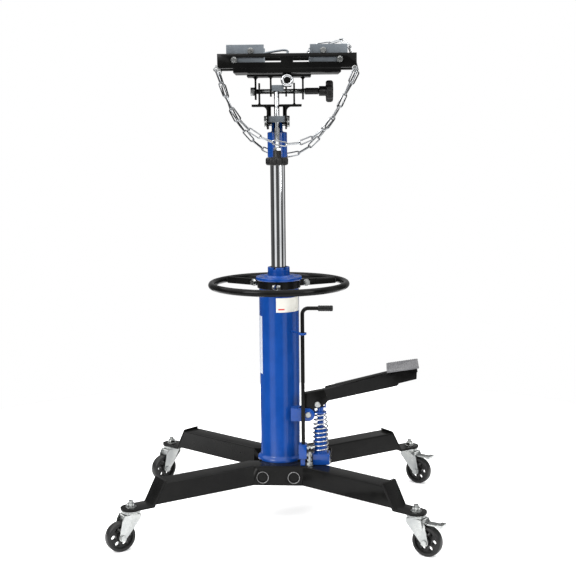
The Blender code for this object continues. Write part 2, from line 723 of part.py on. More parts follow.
# ---- Head: socket, yokes and adjusting screws -------------------------------------------------

socket = as_mesh(turned("saddle_socket", [
    (0.0, NECK_TOP), (NECK_R, NECK_TOP), (NECK_R, SOCKET_Z[1]), (SOCKET_R, SOCKET_Z[1]),
    (SOCKET_R, SOCKET_Z[0]), (RAM_R + GAP, SOCKET_Z[0]), (RAM_R + GAP, RAM_Z[1] + GAP), (0.0, RAM_Z[1] + GAP),
], head))
cut(socket, rod("neck_hole", (-0.03, 0, YOKE_PIN_Z), (0.03, 0, YOKE_PIN_Z), 0.0050, head))
finish(socket, "blue_paint")

lower_yoke = box("lower_yoke", (-0.057, -0.067, LOWER_PLATE_Z[0]), (0.057, 0.030, LOWER_PLATE_Z[1]), head)
yoke_walls = []
for hand in (-1, 1):
    ear_x = sorted((hand * 0.0190, hand * 0.0230))
    post_x = sorted((hand * 0.0385, hand * 0.0425))
    yoke_walls.append(box(f"ear_{hand}", (ear_x[0], -0.067, 0.936), (ear_x[1], 0.022, 0.988), head))
    yoke_walls.append(box(f"post_{hand}", (post_x[0], -0.013, 0.992), (post_x[1], 0.013, 1.042), head))
notch = box("yoke_notch", (-0.009, -0.070, 0.97), (0.009, SCREW_Y + 0.010, 1.0), head)
yoke_holes = [
    rod("pin_hole", (-0.05, 0, YOKE_PIN_Z), (0.05, 0, YOKE_PIN_Z), 0.0050, head),
    rod("trunnion_hole", (-0.05, SCREW_Y, TRUNNION_Z), (0.05, SCREW_Y, TRUNNION_Z), 0.0053, head),
    rod("rod_hole", (-0.06, 0, ROD_AXIS_Z), (0.06, 0, ROD_AXIS_Z), SCREW_R + GAP, head),
]
join(lower_yoke, *yoke_walls)
cut(lower_yoke, notch, *yoke_holes)
finish(lower_yoke, "black_paint")

yoke_pin = rod("yoke_pin", (-0.028, 0, YOKE_PIN_Z), (0.028, 0, YOKE_PIN_Z), 0.0047, head)
finish(yoke_pin, "zinc")

trunnion_block = box(
    "trunnion_block", (-0.0187, SCREW_Y - 0.010, TRUNNION_Z - 0.007),
    (0.0187, SCREW_Y + 0.010, TRUNNION_Z + 0.007), head,
)
trunnion_bolt = rod(
    "trunnion_bolt", (-0.029, SCREW_Y, TRUNNION_Z), (0.029, SCREW_Y, TRUNNION_Z), 0.0050, head
)
trunnion_bore = rod("trunnion_bore", (0, SCREW_Y, 0.93), (0, SCREW_Y, 0.98), SCREW_R + GAP, head)
join(trunnion_block, trunnion_bolt)
cut(trunnion_block, trunnion_bore)
finish(trunnion_block, "grey_zinc")

upper_trunnion = box(
    "upper_trunnion", (-0.0107, SCREW_Y - 0.008, 1.0225), (0.0165, SCREW_Y + 0.008, 1.0360), head
)
upper_bore = rod("upper_bore", (0, SCREW_Y, 1.00), (0, SCREW_Y, 1.0340), SCREW_R + GAP, head)
cut(upper_trunnion, upper_bore)
finish(upper_trunnion, "grey_zinc")

pitch_screw = rod(
    "pitch_screw", (0, SCREW_Y, 0.8720), (0, SCREW_Y, 1.0335), SCREW_R, head, (0, SCREW_Y, 0.8720)
)
finish(pitch_screw, "chrome")


def star_knob(name, hub_r, hub_length, star_r, star_length):
    """Hub and seven-lobed star, turned up from the star's outer face at Z = 0."""
    points = []
    for step in range(56):
        angle = math.tau * step / 56
        reach = star_r - 0.0035 * (1.0 + math.cos(7 * angle)) / 2
        points.append((reach * math.cos(angle), reach * math.sin(angle)))
    star = outline_plate(name, points, 0.0, star_length)
    hub = rod(name + "_hub", (0, 0, star_length - 0.001), (0, 0, star_length + hub_length), hub_r)
    return join(star, hub), hub


pitch_knob, pitch_hub = star_knob("pitch_knob", 0.0095, 0.0155, 0.0270, 0.0180)
for piece in (pitch_knob, pitch_hub):
    piece.parent = head
    piece.location = (0.0, SCREW_Y, 0.8540)
pitch_bore = rod("pitch_knob_bore", (0, SCREW_Y, 0.8717), (0, SCREW_Y, 0.90), SCREW_R + GAP, head)
cut(pitch_knob, pitch_bore)
finish(pitch_knob, "black_plastic")

side_screw = rod(
    "side_screw", (-0.053, 0, ROD_AXIS_Z), (0.116, 0, ROD_AXIS_Z), SCREW_R, head, (0, 0, ROD_AXIS_Z)
)
side_nut = rod("side_nut", (-0.062, 0, ROD_AXIS_Z), (-0.0518, 0, ROD_AXIS_Z), 0.0095, head, sides=6)
join(side_screw, side_nut)
finish(side_screw, "zinc")

side_knob, side_hub = star_knob("side_knob", 0.0115, 0.0160, 0.0260, 0.0165)
for piece in (side_knob, side_hub):
    piece.parent = head
    piece.location = (0.1310, 0.0, ROD_AXIS_Z)
    piece.rotation_euler = (0.0, math.radians(-90.0), 0.0)
side_bore = rod("side_knob_bore", (0.05, 0, ROD_AXIS_Z), (0.1163, 0, ROD_AXIS_Z), SCREW_R + GAP, head)
cut(side_knob, side_bore)
finish(side_knob, "black_plastic")

TILT_ORIGIN = (0.0, 0.0, ROD_AXIS_Z)
upper_yoke = box("upper_yoke", (-0.067, -0.062, FLANGE_Z[0]), (0.079, 0.030, FLANGE_Z[1]), head, TILT_ORIGIN)
legs = [
    box("outer_leg_left", (-0.051, -0.014, 1.004), (-0.047, 0.014, 1.056), head),
    box("outer_leg_right", (0.059, -0.014, 1.004), (0.063, 0.014, 1.056), head),
    box("inner_leg_left", (-0.015, -0.062, 1.010), (-0.011, -0.040, 1.056), head),
    box("inner_leg_right", (0.020, -0.062, 1.010), (0.024, -0.040, 1.056), head),
]
bush = rod("roll_bush", (ROLL_X, -0.062, ROLL_Z), (ROLL_X, 0.030, ROLL_Z), 0.0085, head)
roll_hole = rod("roll_hole", (ROLL_X, -0.08, ROLL_Z), (ROLL_X, 0.05, ROLL_Z), 0.0053, head)
leg_hole = rod("leg_hole", (-0.07, 0, ROD_AXIS_Z), (0.08, 0, ROD_AXIS_Z), SCREW_R + GAP, head)
join(upper_yoke, *legs, bush)
cut(upper_yoke, roll_hole, leg_hole)
finish(upper_yoke, "black_paint")

roll_pin = rod("roll_pin", (ROLL_X, -0.0735, ROLL_Z), (ROLL_X, 0.043, ROLL_Z), 0.0050, head)
roll_washer = rod("roll_washer", (ROLL_X, -0.0765, ROLL_Z), (ROLL_X, -0.0710, ROLL_Z), 0.0145, head)
join(roll_pin, roll_washer)
finish(roll_pin, "chrome")

# ---- Saddle: plate, slotted rails, corner brackets and chains -----------------------------------

SADDLE_ORIGIN = (ROLL_X, 0.0, ROLL_Z)


def saddle_box(name, low, high, at=SADDLE_ORIGIN):
    """Box whose X is measured from the middle of the saddle."""
    low, high = Vector(low) + Vector((ROLL_X, 0, 0)), Vector(high) + Vector((ROLL_X, 0, 0))
    return box(name, low, high, head, at)


saddle_plate = saddle_box(
    "saddle_plate", (-PLATE_HALF[0], -PLATE_HALF[1], PLATE_Z[0]), (PLATE_HALF[0], PLATE_HALF[1], PLATE_Z[1])
)
lugs = [
    saddle_box("front_lug", (-0.0100, -0.0702, 1.034), (0.0100, -0.0652, PLATE_Z[0] + 0.001)),
    saddle_box("rear_lug", (-0.0100, 0.0330, 1.034), (0.0100, 0.0380, PLATE_Z[0] + 0.001)),
]
lug_hole = rod("lug_hole", (ROLL_X, -0.09, ROLL_Z), (ROLL_X, 0.06, ROLL_Z), 0.0053, head)
join(saddle_plate, *lugs)
cut(saddle_plate, lug_hole)
finish(saddle_plate, "black_paint")

rail_foot = PLATE_Z[1] + GAP
for word, side in (("front", -1), ("rear", 1)):
    wall = sorted((side * RAIL_Y, side * (RAIL_Y - RAIL_T)))
    shelf = sorted((side * RAIL_Y, side * 0.045))
    rail = saddle_box(
        f"{word}_saddle_rail", (-RAIL_HALF, wall[0], rail_foot), (RAIL_HALF, wall[1], RAIL_TOP)
    )
    ledge = saddle_box(
        f"{word}_rail_ledge", (-RAIL_HALF, shelf[0], rail_foot), (RAIL_HALF, shelf[1], rail_foot + RAIL_T)
    )
    slots = []
    for hand in (-1, 1):
        span = sorted((hand * SLOT_X[0], hand * SLOT_X[1]))
        slots.append(saddle_box(
            f"{word}_rail_slot_{hand}", (span[0], wall[0] - 0.01, SLOT_Z[0]),
            (span[1], wall[1] + 0.01, SLOT_Z[1]),
        ))
    join(rail, ledge)
    cut(rail, *slots)
    finish(rail, "black_paint")

    for hand, hand_word in ((-1, "left"), (1, "right")):
        x = sorted((hand * (BRACKET_X - BRACKET_HALF), hand * (BRACKET_X + BRACKET_HALF)))
        face = side * (RAIL_Y - RAIL_T - GAP)
        wall = sorted((face, face - side * 0.004))
        foot = sorted((face, face - side * 0.034))
        bottom = rail_foot + RAIL_T + GAP
        bracket = saddle_box(
            f"{word}_{hand_word}_bracket", (x[0], wall[0], bottom), (x[1], wall[1], BRACKET_TOP)
        )
        bracket_foot = saddle_box(
            f"{word}_{hand_word}_bracket_foot", (x[0], foot[0], bottom), (x[1], foot[1], bottom + 0.004)
        )
        join(bracket, bracket_foot)
        finish(bracket, "grey_zinc")


def smooth_route(points, count):
    """Points evenly spread along the smooth curve that runs through the given ones."""
    ends = [2 * points[0] - points[1], *points, 2 * points[-1] - points[-2]]
    fine = []
    for a, b, c, d in zip(ends, ends[1:], ends[2:], ends[3:]):
        for step in range(20):
            t = step / 20
            fine.append(0.5 * (
                2 * b + (c - a) * t + (2 * a - 5 * b + 4 * c - d) * t**2 + (3 * b - a - 3 * c + d) * t**3
            ))
    fine.append(points[-1])
    lengths = [0.0]
    for first, second in zip(fine, fine[1:]):
        lengths.append(lengths[-1] + (second - first).length)
    route = []
    place = 0
    for step in range(count + 1):
        target = lengths[-1] * step / count
        while place < len(fine) - 2 and lengths[place + 1] < target:
            place += 1
        span = lengths[place + 1] - lengths[place]
        route.append(fine[place].lerp(fine[place + 1], (target - lengths[place]) / span))
    return route


# Each chain hangs in an upright plane from the ends of its rail; (x, z) in the head's frame.
CHAINS = {
    "front_chain": (-0.0835, [
        (-0.1360, 1.0700), (-0.1270, 1.0450), (-0.1160, 1.0140), (-0.1030, 0.9860), (-0.0860, 0.9600),
        (-0.0620, 0.9350), (-0.0330, 0.9160), (0.0000, 0.9050), (0.0300, 0.9020), (0.0600, 0.9070),
        (0.0880, 0.9210), (0.1140, 0.9450), (0.1310, 0.9690), (0.1460, 0.9950), (0.1620, 1.0280),
        (0.1740, 1.0520), (0.1840, 1.0700),
    ]),
    "rear_chain": (0.0835, [
        (-0.1370, 1.0700), (-0.1250, 1.0300), (-0.1130, 0.9870), (-0.0970, 0.9550), (-0.0780, 0.9290),
        (-0.0550, 0.9040), (-0.0290, 0.8850), (0.0000, 0.8750), (0.0290, 0.8730), (0.0560, 0.8800),
        (0.0830, 0.8980), (0.1050, 0.9210), (0.1260, 0.9490), (0.1460, 0.9790), (0.1620, 1.0130),
        (0.1760, 1.0450), (0.1860, 1.0700),
    ]),
}
for name, (chain_y, stations) in CHAINS.items():
    route = smooth_route([Vector((x, chain_y, z)) for x, z in stations], 48)
    hinge = Vector((ROLL_X, chain_y, 1.0700))
    chain = bent_bar(name, route, CHAIN_R, head, hinge)
    finish(chain, "chrome")
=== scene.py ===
"""Two-stage hydraulic transmission jack, standing on a pale studio floor."""
import math

import bmesh
import bpy
from mathutils import Matrix, Vector


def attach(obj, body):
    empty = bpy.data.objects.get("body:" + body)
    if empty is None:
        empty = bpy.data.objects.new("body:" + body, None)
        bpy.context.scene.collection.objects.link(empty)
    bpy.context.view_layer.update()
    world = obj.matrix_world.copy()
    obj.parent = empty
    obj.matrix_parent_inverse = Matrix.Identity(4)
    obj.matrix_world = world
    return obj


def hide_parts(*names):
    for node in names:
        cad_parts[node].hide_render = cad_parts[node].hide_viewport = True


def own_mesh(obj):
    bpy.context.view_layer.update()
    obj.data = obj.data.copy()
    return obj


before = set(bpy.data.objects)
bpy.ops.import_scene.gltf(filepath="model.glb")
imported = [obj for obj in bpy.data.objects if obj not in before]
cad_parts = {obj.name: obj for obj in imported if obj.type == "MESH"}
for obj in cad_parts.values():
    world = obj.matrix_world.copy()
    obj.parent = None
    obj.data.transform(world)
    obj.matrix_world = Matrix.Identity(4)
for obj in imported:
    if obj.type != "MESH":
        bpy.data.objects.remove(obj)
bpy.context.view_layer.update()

# ---- Studio ---------------------------------------------------------------------------
# A seamless pale floor and backdrop with broad soft lamps either side of the camera,
# which stands at about head height and looks slightly down on the jack.
BASE = Vector((-0.010, 0.011, 0.0))
COLUMN = Vector((-0.010, -0.0115, 0.0))
HEAD = Matrix.Translation(COLUMN) @ Matrix.Rotation(math.radians(4.3), 4, "Z")

PITCH = math.radians(8.07)
YAW = math.radians(4.33)
ROLL = math.radians(-0.59)
look = Vector((-math.sin(YAW) * math.cos(PITCH), math.cos(YAW) * math.cos(PITCH), -math.sin(PITCH)))
level = Vector((math.cos(YAW), math.sin(YAW), 0.0))
upright = level.cross(look)
right = math.cos(ROLL) * level + math.sin(ROLL) * upright
above = -math.sin(ROLL) * level + math.cos(ROLL) * upright
camera_data = bpy.data.cameras.new("studio_camera")
camera_data.sensor_width = 36.0
camera_data.lens = 73.5
camera = bpy.data.objects.new("studio_camera", camera_data)
camera.matrix_world = Matrix.Translation(COLUMN + Vector((0.231, -2.765, 0.954))) @ (
    Matrix((right, above, -look)).transposed().to_4x4()
)
bpy.context.scene.collection.objects.link(camera)
bpy.context.scene.camera = camera

bpy.context.scene.view_settings.view_transform = "Standard"


def maths(tree, operation, first, second=None, clamp=False):
    node = tree.nodes.new("ShaderNodeMath")
    node.operation = operation
    node.use_clamp = clamp
    for socket, value in zip(node.inputs, (first, second)):
        if isinstance(value, bpy.types.NodeSocket):
            tree.links.new(value, socket)
        elif value is not None:
            socket.default_value = value
    return node.outputs[0]


def ramp(tree, value, low, high, to_low=0.0, to_high=1.0):
    node = tree.nodes.new("ShaderNodeMapRange")
    node.interpolation_type = "SMOOTHSTEP"
    for label, number in (("From Min", low), ("From Max", high), ("To Min", to_low), ("To Max", to_high)):
        node.inputs[label].default_value = number
    tree.links.new(value, node.inputs["Value"])
    return node.outputs["Result"]


def mix_colour(tree, mask, first, second):
    node = tree.nodes.new("ShaderNodeMix")
    node.data_type = "RGBA"
    tree.links.new(mask, node.inputs[0])
    for socket, value in ((node.inputs[6], first), (node.inputs[7], second)):
        if isinstance(value, bpy.types.NodeSocket):
            tree.links.new(value, socket)
        else:
            socket.default_value = (*value, 1.0)
    return node.outputs[2]


def build_studio_world():
    """White to the eye; to the jack, a dim room with upright light panels round it."""
    world = bpy.data.worlds.new("studio")
    world.use_nodes = True
    tree = world.node_tree
    split = tree.nodes.new("ShaderNodeSeparateXYZ")
    tree.links.new(tree.nodes.new("ShaderNodeTexCoord").outputs["Generated"], split.inputs[0])
    azimuth = maths(tree, "ARCTAN2", split.outputs["X"], split.outputs["Y"])
    panels = tree.nodes.new("ShaderNodeValToRGB")
    stops = [
        (0.00, 0.12), (0.055, 0.12), (0.07, 1.3), (0.145, 1.4), (0.16, 0.08), (0.235, 0.08), (0.25, 0.14),
        (0.32, 0.14), (0.335, 0.16), (0.40, 0.16), (0.42, 0.30), (0.58, 0.30), (0.60, 0.16), (0.67, 0.16),
        (0.685, 1.0), (0.75, 1.0), (0.765, 0.08), (0.845, 0.08), (0.86, 1.3), (0.925, 1.3), (0.94, 0.12),
    ]
    ramp_stops = panels.color_ramp.elements
    while len(ramp_stops) < len(stops):
        ramp_stops.new(0.5)
    for stop, (place, level) in zip(ramp_stops, stops):
        stop.position = place
        stop.color = (level, level, level, 1.0)
    turned = maths(tree, "DIVIDE", maths(tree, "ADD", azimuth, math.pi), math.tau)
    tree.links.new(turned, panels.inputs["Fac"])
    overhead = ramp(tree, split.outputs["Z"], 0.45, 0.70)
    room = mix_colour(tree, overhead, panels.outputs["Color"], (0.75, 0.75, 0.75))
    camera_ray = tree.nodes.new("ShaderNodeLightPath").outputs["Is Camera Ray"]
    seen = mix_colour(tree, camera_ray, room, (1.0, 1.0, 1.0))
    tree.links.new(seen, tree.nodes["Background"].inputs["Color"])
    return world


bpy.context.scene.world = build_studio_world()


def lamp(name, place, aim, size, power):
    light = bpy.data.lights.new(name, "AREA")
    light.shape = "RECTANGLE"
    light.size, light.size_y = size
    light.energy = power
    obj = bpy.data.objects.new(name, light)
    obj.location = place
    obj.rotation_euler = (Vector(aim) - Vector(place)).to_track_quat("-Z", "Y").to_euler()
    bpy.context.scene.collection.objects.link(obj)


lamp("key_softbox", (-1.8, -1.9, 2.2), (0.0, 0.0, 0.6), (1.2, 1.8), 60.0)
lamp("fill_softbox", (2.0, -1.5, 1.4), (0.0, 0.0, 0.5), (0.7, 1.6), 26.0)
lamp("top_softbox", (0.1, 0.5, 2.6), (0.0, 0.0, 0.4), (1.8, 1.8), 10.0)
sky = bpy.data.objects.new("overhead_diffuser", bpy.data.lights.new("overhead_diffuser", "SUN"))
sky.data.energy = 3.7
sky.data.angle = math.radians(120.0)
sky.rotation_euler = (math.radians(18.0), math.radians(-14.0), 0.0)
bpy.context.scene.collection.objects.link(sky)

floor_mesh = bpy.data.meshes.new("studio_floor")
bm = bmesh.new()
bmesh.ops.create_circle(bm, cap_ends=True, segments=96, radius=1.45)
bm.to_mesh(floor_mesh)
bm.free()
floor = bpy.data.objects.new("studio_floor", floor_mesh)
bpy.context.scene.collection.objects.link(floor)
floor_paint = bpy.data.materials.new("studio_floor")
floor_paint.use_nodes = True
paint = floor_paint.node_tree.nodes["Principled BSDF"].inputs
paint["Base Color"].default_value = (0.97, 0.97, 0.97, 1.0)
paint["Roughness"].default_value = 0.85
paint["Emission Color"].default_value = (1.0, 1.0, 1.0, 1.0)
paint["Emission Strength"].default_value = 0.20
floor_mesh.materials.append(floor_paint)

# ---- Retaining chains -------------------------------------------------------------------
# Bright welded chain of long links bent from 3.4 mm wire, one hung across the front of the
# saddle and one across the back, each link turned a quarter against the next.


def shader_group(name, inputs, outputs):
    """Empty shader group with float inputs (name, default) and named float outputs."""
    tree = bpy.data.node_groups.new(name, "ShaderNodeTree")
    for label, value in inputs:
        tree.interface.new_socket(label, in_out="INPUT", socket_type="NodeSocketFloat").default_value = value
    for label in outputs:
        tree.interface.new_socket(label, in_out="OUTPUT", socket_type="NodeSocketFloat")
    return tree, tree.nodes.new("NodeGroupInput"), tree.nodes.new("NodeGroupOutput")


def noise(tree, vector, scale, detail=3.0, roughness=0.55):
    """Noise texture node fed by a vector socket; scale is a socket or a number."""
    node = tree.nodes.new("ShaderNodeTexNoise")
    node.inputs["Detail"].default_value = detail
    node.inputs["Roughness"].default_value = roughness
    tree.links.new(vector, node.inputs["Vector"])
    if isinstance(scale, bpy.types.NodeSocket):
        tree.links.new(scale, node.inputs["Scale"])
    else:
        node.inputs["Scale"].default_value = scale
    return node.outputs["Fac"]


def build_surface_grain():
    """Fine unevenness of a finish: Height for bump and a slow Mottle for colour and gloss."""
    tree, enter, leave = shader_group(
        "surface_grain", [("Grain Scale", 700.0), ("Mottle Scale", 18.0)], ["Height", "Mottle"]
    )
    place = tree.nodes.new("ShaderNodeTexCoord").outputs["Object"]
    tree.links.new(noise(tree, place, enter.outputs["Grain Scale"], 2.0), leave.inputs["Height"])
    mottle = noise(tree, place, enter.outputs["Mottle Scale"], 5.0, 0.62)
    tree.links.new(ramp(tree, mottle, 0.32, 0.68), leave.inputs["Mottle"])
    return tree


def build_edge_rub():
    """Mask of the corners where a finish is rubbed, broken up by noise."""
    tree, enter, leave = shader_group(
        "edge_rub", [("Break Scale", 160.0), ("Amount", 0.6)], ["Mask"]
    )
    geometry = tree.nodes.new("ShaderNodeNewGeometry")
    bevel = tree.nodes.new("ShaderNodeBevel")
    bevel.samples = 3
    bevel.inputs["Radius"].default_value = 0.0011
    dot = tree.nodes.new("ShaderNodeVectorMath")
    dot.operation = "DOT_PRODUCT"
    tree.links.new(geometry.outputs["Normal"], dot.inputs[0])
    tree.links.new(bevel.outputs["Normal"], dot.inputs[1])
    corner = ramp(tree, dot.outputs["Value"], 0.975, 0.86)
    place = tree.nodes.new("ShaderNodeTexCoord").outputs["Object"]
    patch = ramp(tree, noise(tree, place, enter.outputs["Break Scale"], 4.0), 0.46, 0.62)
    mask = maths(tree, "MULTIPLY", maths(tree, "MULTIPLY", corner, patch), enter.outputs["Amount"], clamp=True)
    tree.links.new(mask, leave.inputs["Mask"])
    return tree


def build_dust_and_top_sheen():
    """Mask of the faint dust on faces turned upwards, which also serves as a painted pale sheen on those tops.
    """
    tree, enter, leave = shader_group("dust_and_top_sheen", [("Amount", 0.2), ("Scale", 45.0)], ["Mask"])
    normal = tree.nodes.new("ShaderNodeNewGeometry").outputs["Normal"]
    split = tree.nodes.new("ShaderNodeSeparateXYZ")
    tree.links.new(normal, split.inputs[0])
    place = tree.nodes.new("ShaderNodeTexCoord").outputs["Object"]
    cloud = ramp(tree, noise(tree, place, enter.outputs["Scale"], 6.0, 0.65), 0.35, 0.7, 0.35, 1.0)
    # Upward faces get dust and also a painted pale sheen, standing in for the bright room's reflection on their
    # tops.
    mask = maths(tree, "MULTIPLY", ramp(tree, split.outputs["Z"], 0.45, 0.98), cloud)
    tree.links.new(maths(tree, "MULTIPLY", mask, enter.outputs["Amount"], clamp=True), leave.inputs["Mask"])
    return tree


def build_drawn_lines():
    """Fine lines left by turning or drawing, running round the piece's own Z axis."""
    tree, enter, leave = shader_group("drawn_lines", [("Line Scale", 900.0)], ["Height"])
    place = tree.nodes.new("ShaderNodeTexCoord").outputs["Object"]
    split = tree.nodes.new("ShaderNodeSeparateXYZ")
    tree.links.new(place, split.inputs[0])
    join = tree.nodes.new("ShaderNodeCombineXYZ")
    tree.links.new(split.outputs["Z"], join.inputs["Z"])
    tree.links.new(maths(tree, "MULTIPLY", split.outputs["X"], 0.03), join.inputs["X"])
    tree.links.new(maths(tree, "MULTIPLY", split.outputs["Y"], 0.03), join.inputs["Y"])
    tree.links.new(noise(tree, join.outputs[0], enter.outputs["Line Scale"], 2.0), leave.inputs["Height"])
    return tree


SURFACE_GRAIN = build_surface_grain()
EDGE_RUB = build_edge_rub()
DUST_AND_TOP_SHEEN = build_dust_and_top_sheen()
DRAWN_LINES = build_drawn_lines()


def placed(tree, group, **values):
    node = tree.nodes.new("ShaderNodeGroup")
    node.node_tree = group
    for label, value in values.items():
        node.inputs[label.replace("_", " ")].default_value = value
    return node


def add_bump(tree, height, distance, shader):
    bump = tree.nodes.new("ShaderNodeBump")
    bump.inputs["Strength"].default_value = 1.0
    bump.inputs["Distance"].default_value = distance
    tree.links.new(height, bump.inputs["Height"])
    tree.links.new(bump.outputs["Normal"], shader.inputs["Normal"])


def finish_material(
    name, light, dark, gloss, metal=0.0, grain=700.0, depth=0.00002, rub=None, rub_amount=0.5,
    dust_and_sheen=0.0, lines=False, specular=0.5,
):
    """Finish that mottles between two tones, with grain, rubbed corners, and settled dust that also paints a
    pale sheen on upward faces.

    gloss is the roughness from its shiniest to its dullest patch; rub is the colour that
    shows where corners are worn.
    """
    material = bpy.data.materials.new(name)
    material.use_nodes = True
    tree = material.node_tree
    shader = tree.nodes["Principled BSDF"]
    shader.inputs["Metallic"].default_value = metal
    shader.inputs["Specular IOR Level"].default_value = specular
    grained = placed(tree, SURFACE_GRAIN, Grain_Scale=grain)
    colour = mix_colour(tree, grained.outputs["Mottle"], light, dark)
    rough = ramp(tree, grained.outputs["Mottle"], 0.0, 1.0, gloss[0], gloss[1])
    # Upward faces are mixed towards pale grey and made duller: partly dust, partly a painted sheen in place of
    # the room's reflection.
    if dust_and_sheen:
        dust_and_sheen_group = placed(tree, DUST_AND_TOP_SHEEN, Amount=dust_and_sheen)
        colour = mix_colour(tree, dust_and_sheen_group.outputs["Mask"], colour, (0.42, 0.41, 0.39))
        rough = maths(tree, "ADD", rough, maths(tree, "MULTIPLY", dust_and_sheen_group.outputs["Mask"], 0.5), clamp=True)
    if rub:
        rubbed = placed(tree, EDGE_RUB, Amount=rub_amount)
        colour = mix_colour(tree, rubbed.outputs["Mask"], colour, rub)
    tree.links.new(colour, shader.inputs["Base Color"])
    tree.links.new(rough, shader.inputs["Roughness"])
    height = grained.outputs["Height"]
    if lines:
        height = placed(tree, DRAWN_LINES).outputs["Height"]
    add_bump(tree, height, depth, shader)
    return material


def shape(name, bm, material, body, replaces=(), matrix=None, smooth=35.0, bevel=None):
    """Makes a piece from a bmesh, places it in the row frame and seats it on its body."""
    bm.normal_update()
    bmesh.ops.recalc_face_normals(bm, faces=bm.faces)
    mesh = bpy.data.meshes.new(name)
    bm.to_mesh(mesh)
    bm.free()
    mesh.materials.append(material)
    obj = bpy.data.objects.new(name, mesh)
    bpy.context.scene.collection.objects.link(obj)
    if matrix is not None:
        obj.matrix_world = matrix
    if bevel:
        soften = obj.modifiers.new("Corners", "BEVEL")
        soften.width = bevel
        soften.segments = 3
        soften.limit_method = "ANGLE"
        soften.angle_limit = math.radians(32.0)
        soften.harden_normals = True
    if smooth:
        mesh.shade_smooth()
        if not bevel:
            mesh.set_sharp_from_angle(angle=math.radians(smooth))
    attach(obj, body)
    if replaces:
        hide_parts(*replaces)
    return obj


def circle(bm, place, radius, z, count, start=0.0):
    """Adds a ring of vertices round the Z axis of a placing matrix; radius 0 gives one vertex."""
    if radius < 1e-7:
        return [bm.verts.new(place @ Vector((0.0, 0.0, z)))]
    ring = []
    for step in range(count):
        angle = math.tau * (step + start) / count
        ring.append(bm.verts.new(place @ Vector((radius * math.cos(angle), radius * math.sin(angle), z))))
    return ring

def skin(bm, rings, closed=False, capped=False):
    """Adds the faces between neighbouring rings of vertices, where a lone vertex is a tip."""
    pairs = list(zip(rings, rings[1:]))
    if closed:
        pairs.append((rings[-1], rings[0]))
    for first, second in pairs:
        count = max(len(first), len(second))
        for step in range(count):
            after = (step + 1) % count
            if len(first) == 1:
                bm.faces.new((first[0], second[step], second[after]))
            elif len(second) == 1:
                bm.faces.new((first[step], first[after], second[0]))
            else:
                bm.faces.new((first[step], first[after], second[after], second[step]))
    if capped:
        bm.faces.new(rings[0][::-1])
        bm.faces.new(rings[-1])

def sweep(bm, path, radius, sides=12, closed=False):
    """Adds a round bar along the points of a path to a bmesh."""
    count = len(path)
    rings = []
    side = None
    for index, point in enumerate(path):
        before = path[index - 1] if closed or index else point
        after = path[(index + 1) % count] if closed or index < count - 1 else point
        tangent = (after - before).normalized()
        if side is None:
            side = tangent.orthogonal().normalized()
        side = (side - tangent * side.dot(tangent)).normalized()
        place = Matrix((side, tangent.cross(side), tangent)).transposed().to_4x4()
        place.translation = point
        rings.append(circle(bm, place, radius, 0.0, sides))
    if closed:
        last, start = rings[-1], rings[0]
        shift = min(range(sides), key=lambda step: (last[0].co - start[step].co).length)
        rings.append(start[shift:] + start[:shift])
    skin(bm, rings, capped=not closed)


def smooth_route(points, count):
    """Points evenly spread along the smooth curve that runs through the given ones."""
    ends = [2 * points[0] - points[1], *points, 2 * points[-1] - points[-2]]
    fine = []
    for a, b, c, d in zip(ends, ends[1:], ends[2:], ends[3:]):
        for step in range(20):
            t = step / 20
            fine.append(0.5 * (
                2 * b + (c - a) * t + (2 * a - 5 * b + 4 * c - d) * t**2 + (3 * b - a - 3 * c + d) * t**3
            ))
    fine.append(points[-1])
    lengths = [0.0]
    for first, second in zip(fine, fine[1:]):
        lengths.append(lengths[-1] + (second - first).length)
    route = []
    place = 0
    for step in range(count + 1):
        target = lengths[-1] * step / count
        while place < len(fine) - 2 and lengths[place + 1] < target:
            place += 1
        span = lengths[place + 1] - lengths[place]
        route.append(fine[place].lerp(fine[place + 1], (target - lengths[place]) / span))
    return route, lengths[-1]


CHAIN_STEEL = finish_material(
    "bright_chain_steel", (0.34, 0.35, 0.36), (0.22, 0.23, 0.24), (0.12, 0.26), metal=1.0,
    grain=1500.0, depth=0.00001,
)
LINK_PITCH = 0.0300
LINK_WIDTH = 0.0125
LINK_WIRE = 0.0034


def add_link(bm, middle, along, across):
    """One welded link, its length along the chain and its width along `across`."""
    half = (LINK_PITCH + LINK_WIRE) / 2
    wide = (LINK_WIDTH - LINK_WIRE) / 2
    path = []
    for end in (1, -1):
        for step in range(9):
            angle = math.radians(-90.0 + 22.5 * step)
            path.append(
                middle + end * along * (half - wide + wide * math.cos(angle))
                + end * across * (wide * math.sin(angle))
            )
    sweep(bm, path, LINK_WIRE / 2, 10, closed=True)


def add_links(bm, route, rolls, normal=None):
    """Links laid end to end along a route, turned by two angles (degrees) in turn."""
    for index, (first, second) in enumerate(zip(route, route[1:])):
        along = (second - first).normalized()
        start = along.orthogonal().normalized() if normal is None else normal
        across = Matrix.Rotation(math.radians(rolls[index % 2]), 3, along) @ start
        add_link(bm, (first + second) / 2, along, across)

CHAINS = {
    "front_chain": (-0.0835, [
        (-0.1360, 1.0700), (-0.1270, 1.0450), (-0.1160, 1.0140), (-0.1030, 0.9860), (-0.0860, 0.9600),
        (-0.0620, 0.9350), (-0.0330, 0.9160), (0.0000, 0.9050), (0.0300, 0.9020), (0.0600, 0.9070),
        (0.0880, 0.9210), (0.1140, 0.9450), (0.1310, 0.9690), (0.1460, 0.9950), (0.1620, 1.0280),
        (0.1700, 1.0480), (0.1790, 1.0690),
    ]),
    "rear_chain": (0.0835, [
        (-0.1370, 1.0700), (-0.1250, 1.0300), (-0.1130, 0.9870), (-0.0970, 0.9550), (-0.0780, 0.9290),
        (-0.0550, 0.9040), (-0.0290, 0.8850), (0.0000, 0.8750), (0.0290, 0.8730), (0.0560, 0.8800),
        (0.0830, 0.8980), (0.1050, 0.9210), (0.1260, 0.9490), (0.1460, 0.9790), (0.1620, 1.0130),
        (0.1790, 1.0420), (0.1930, 1.0690),
    ]),
}
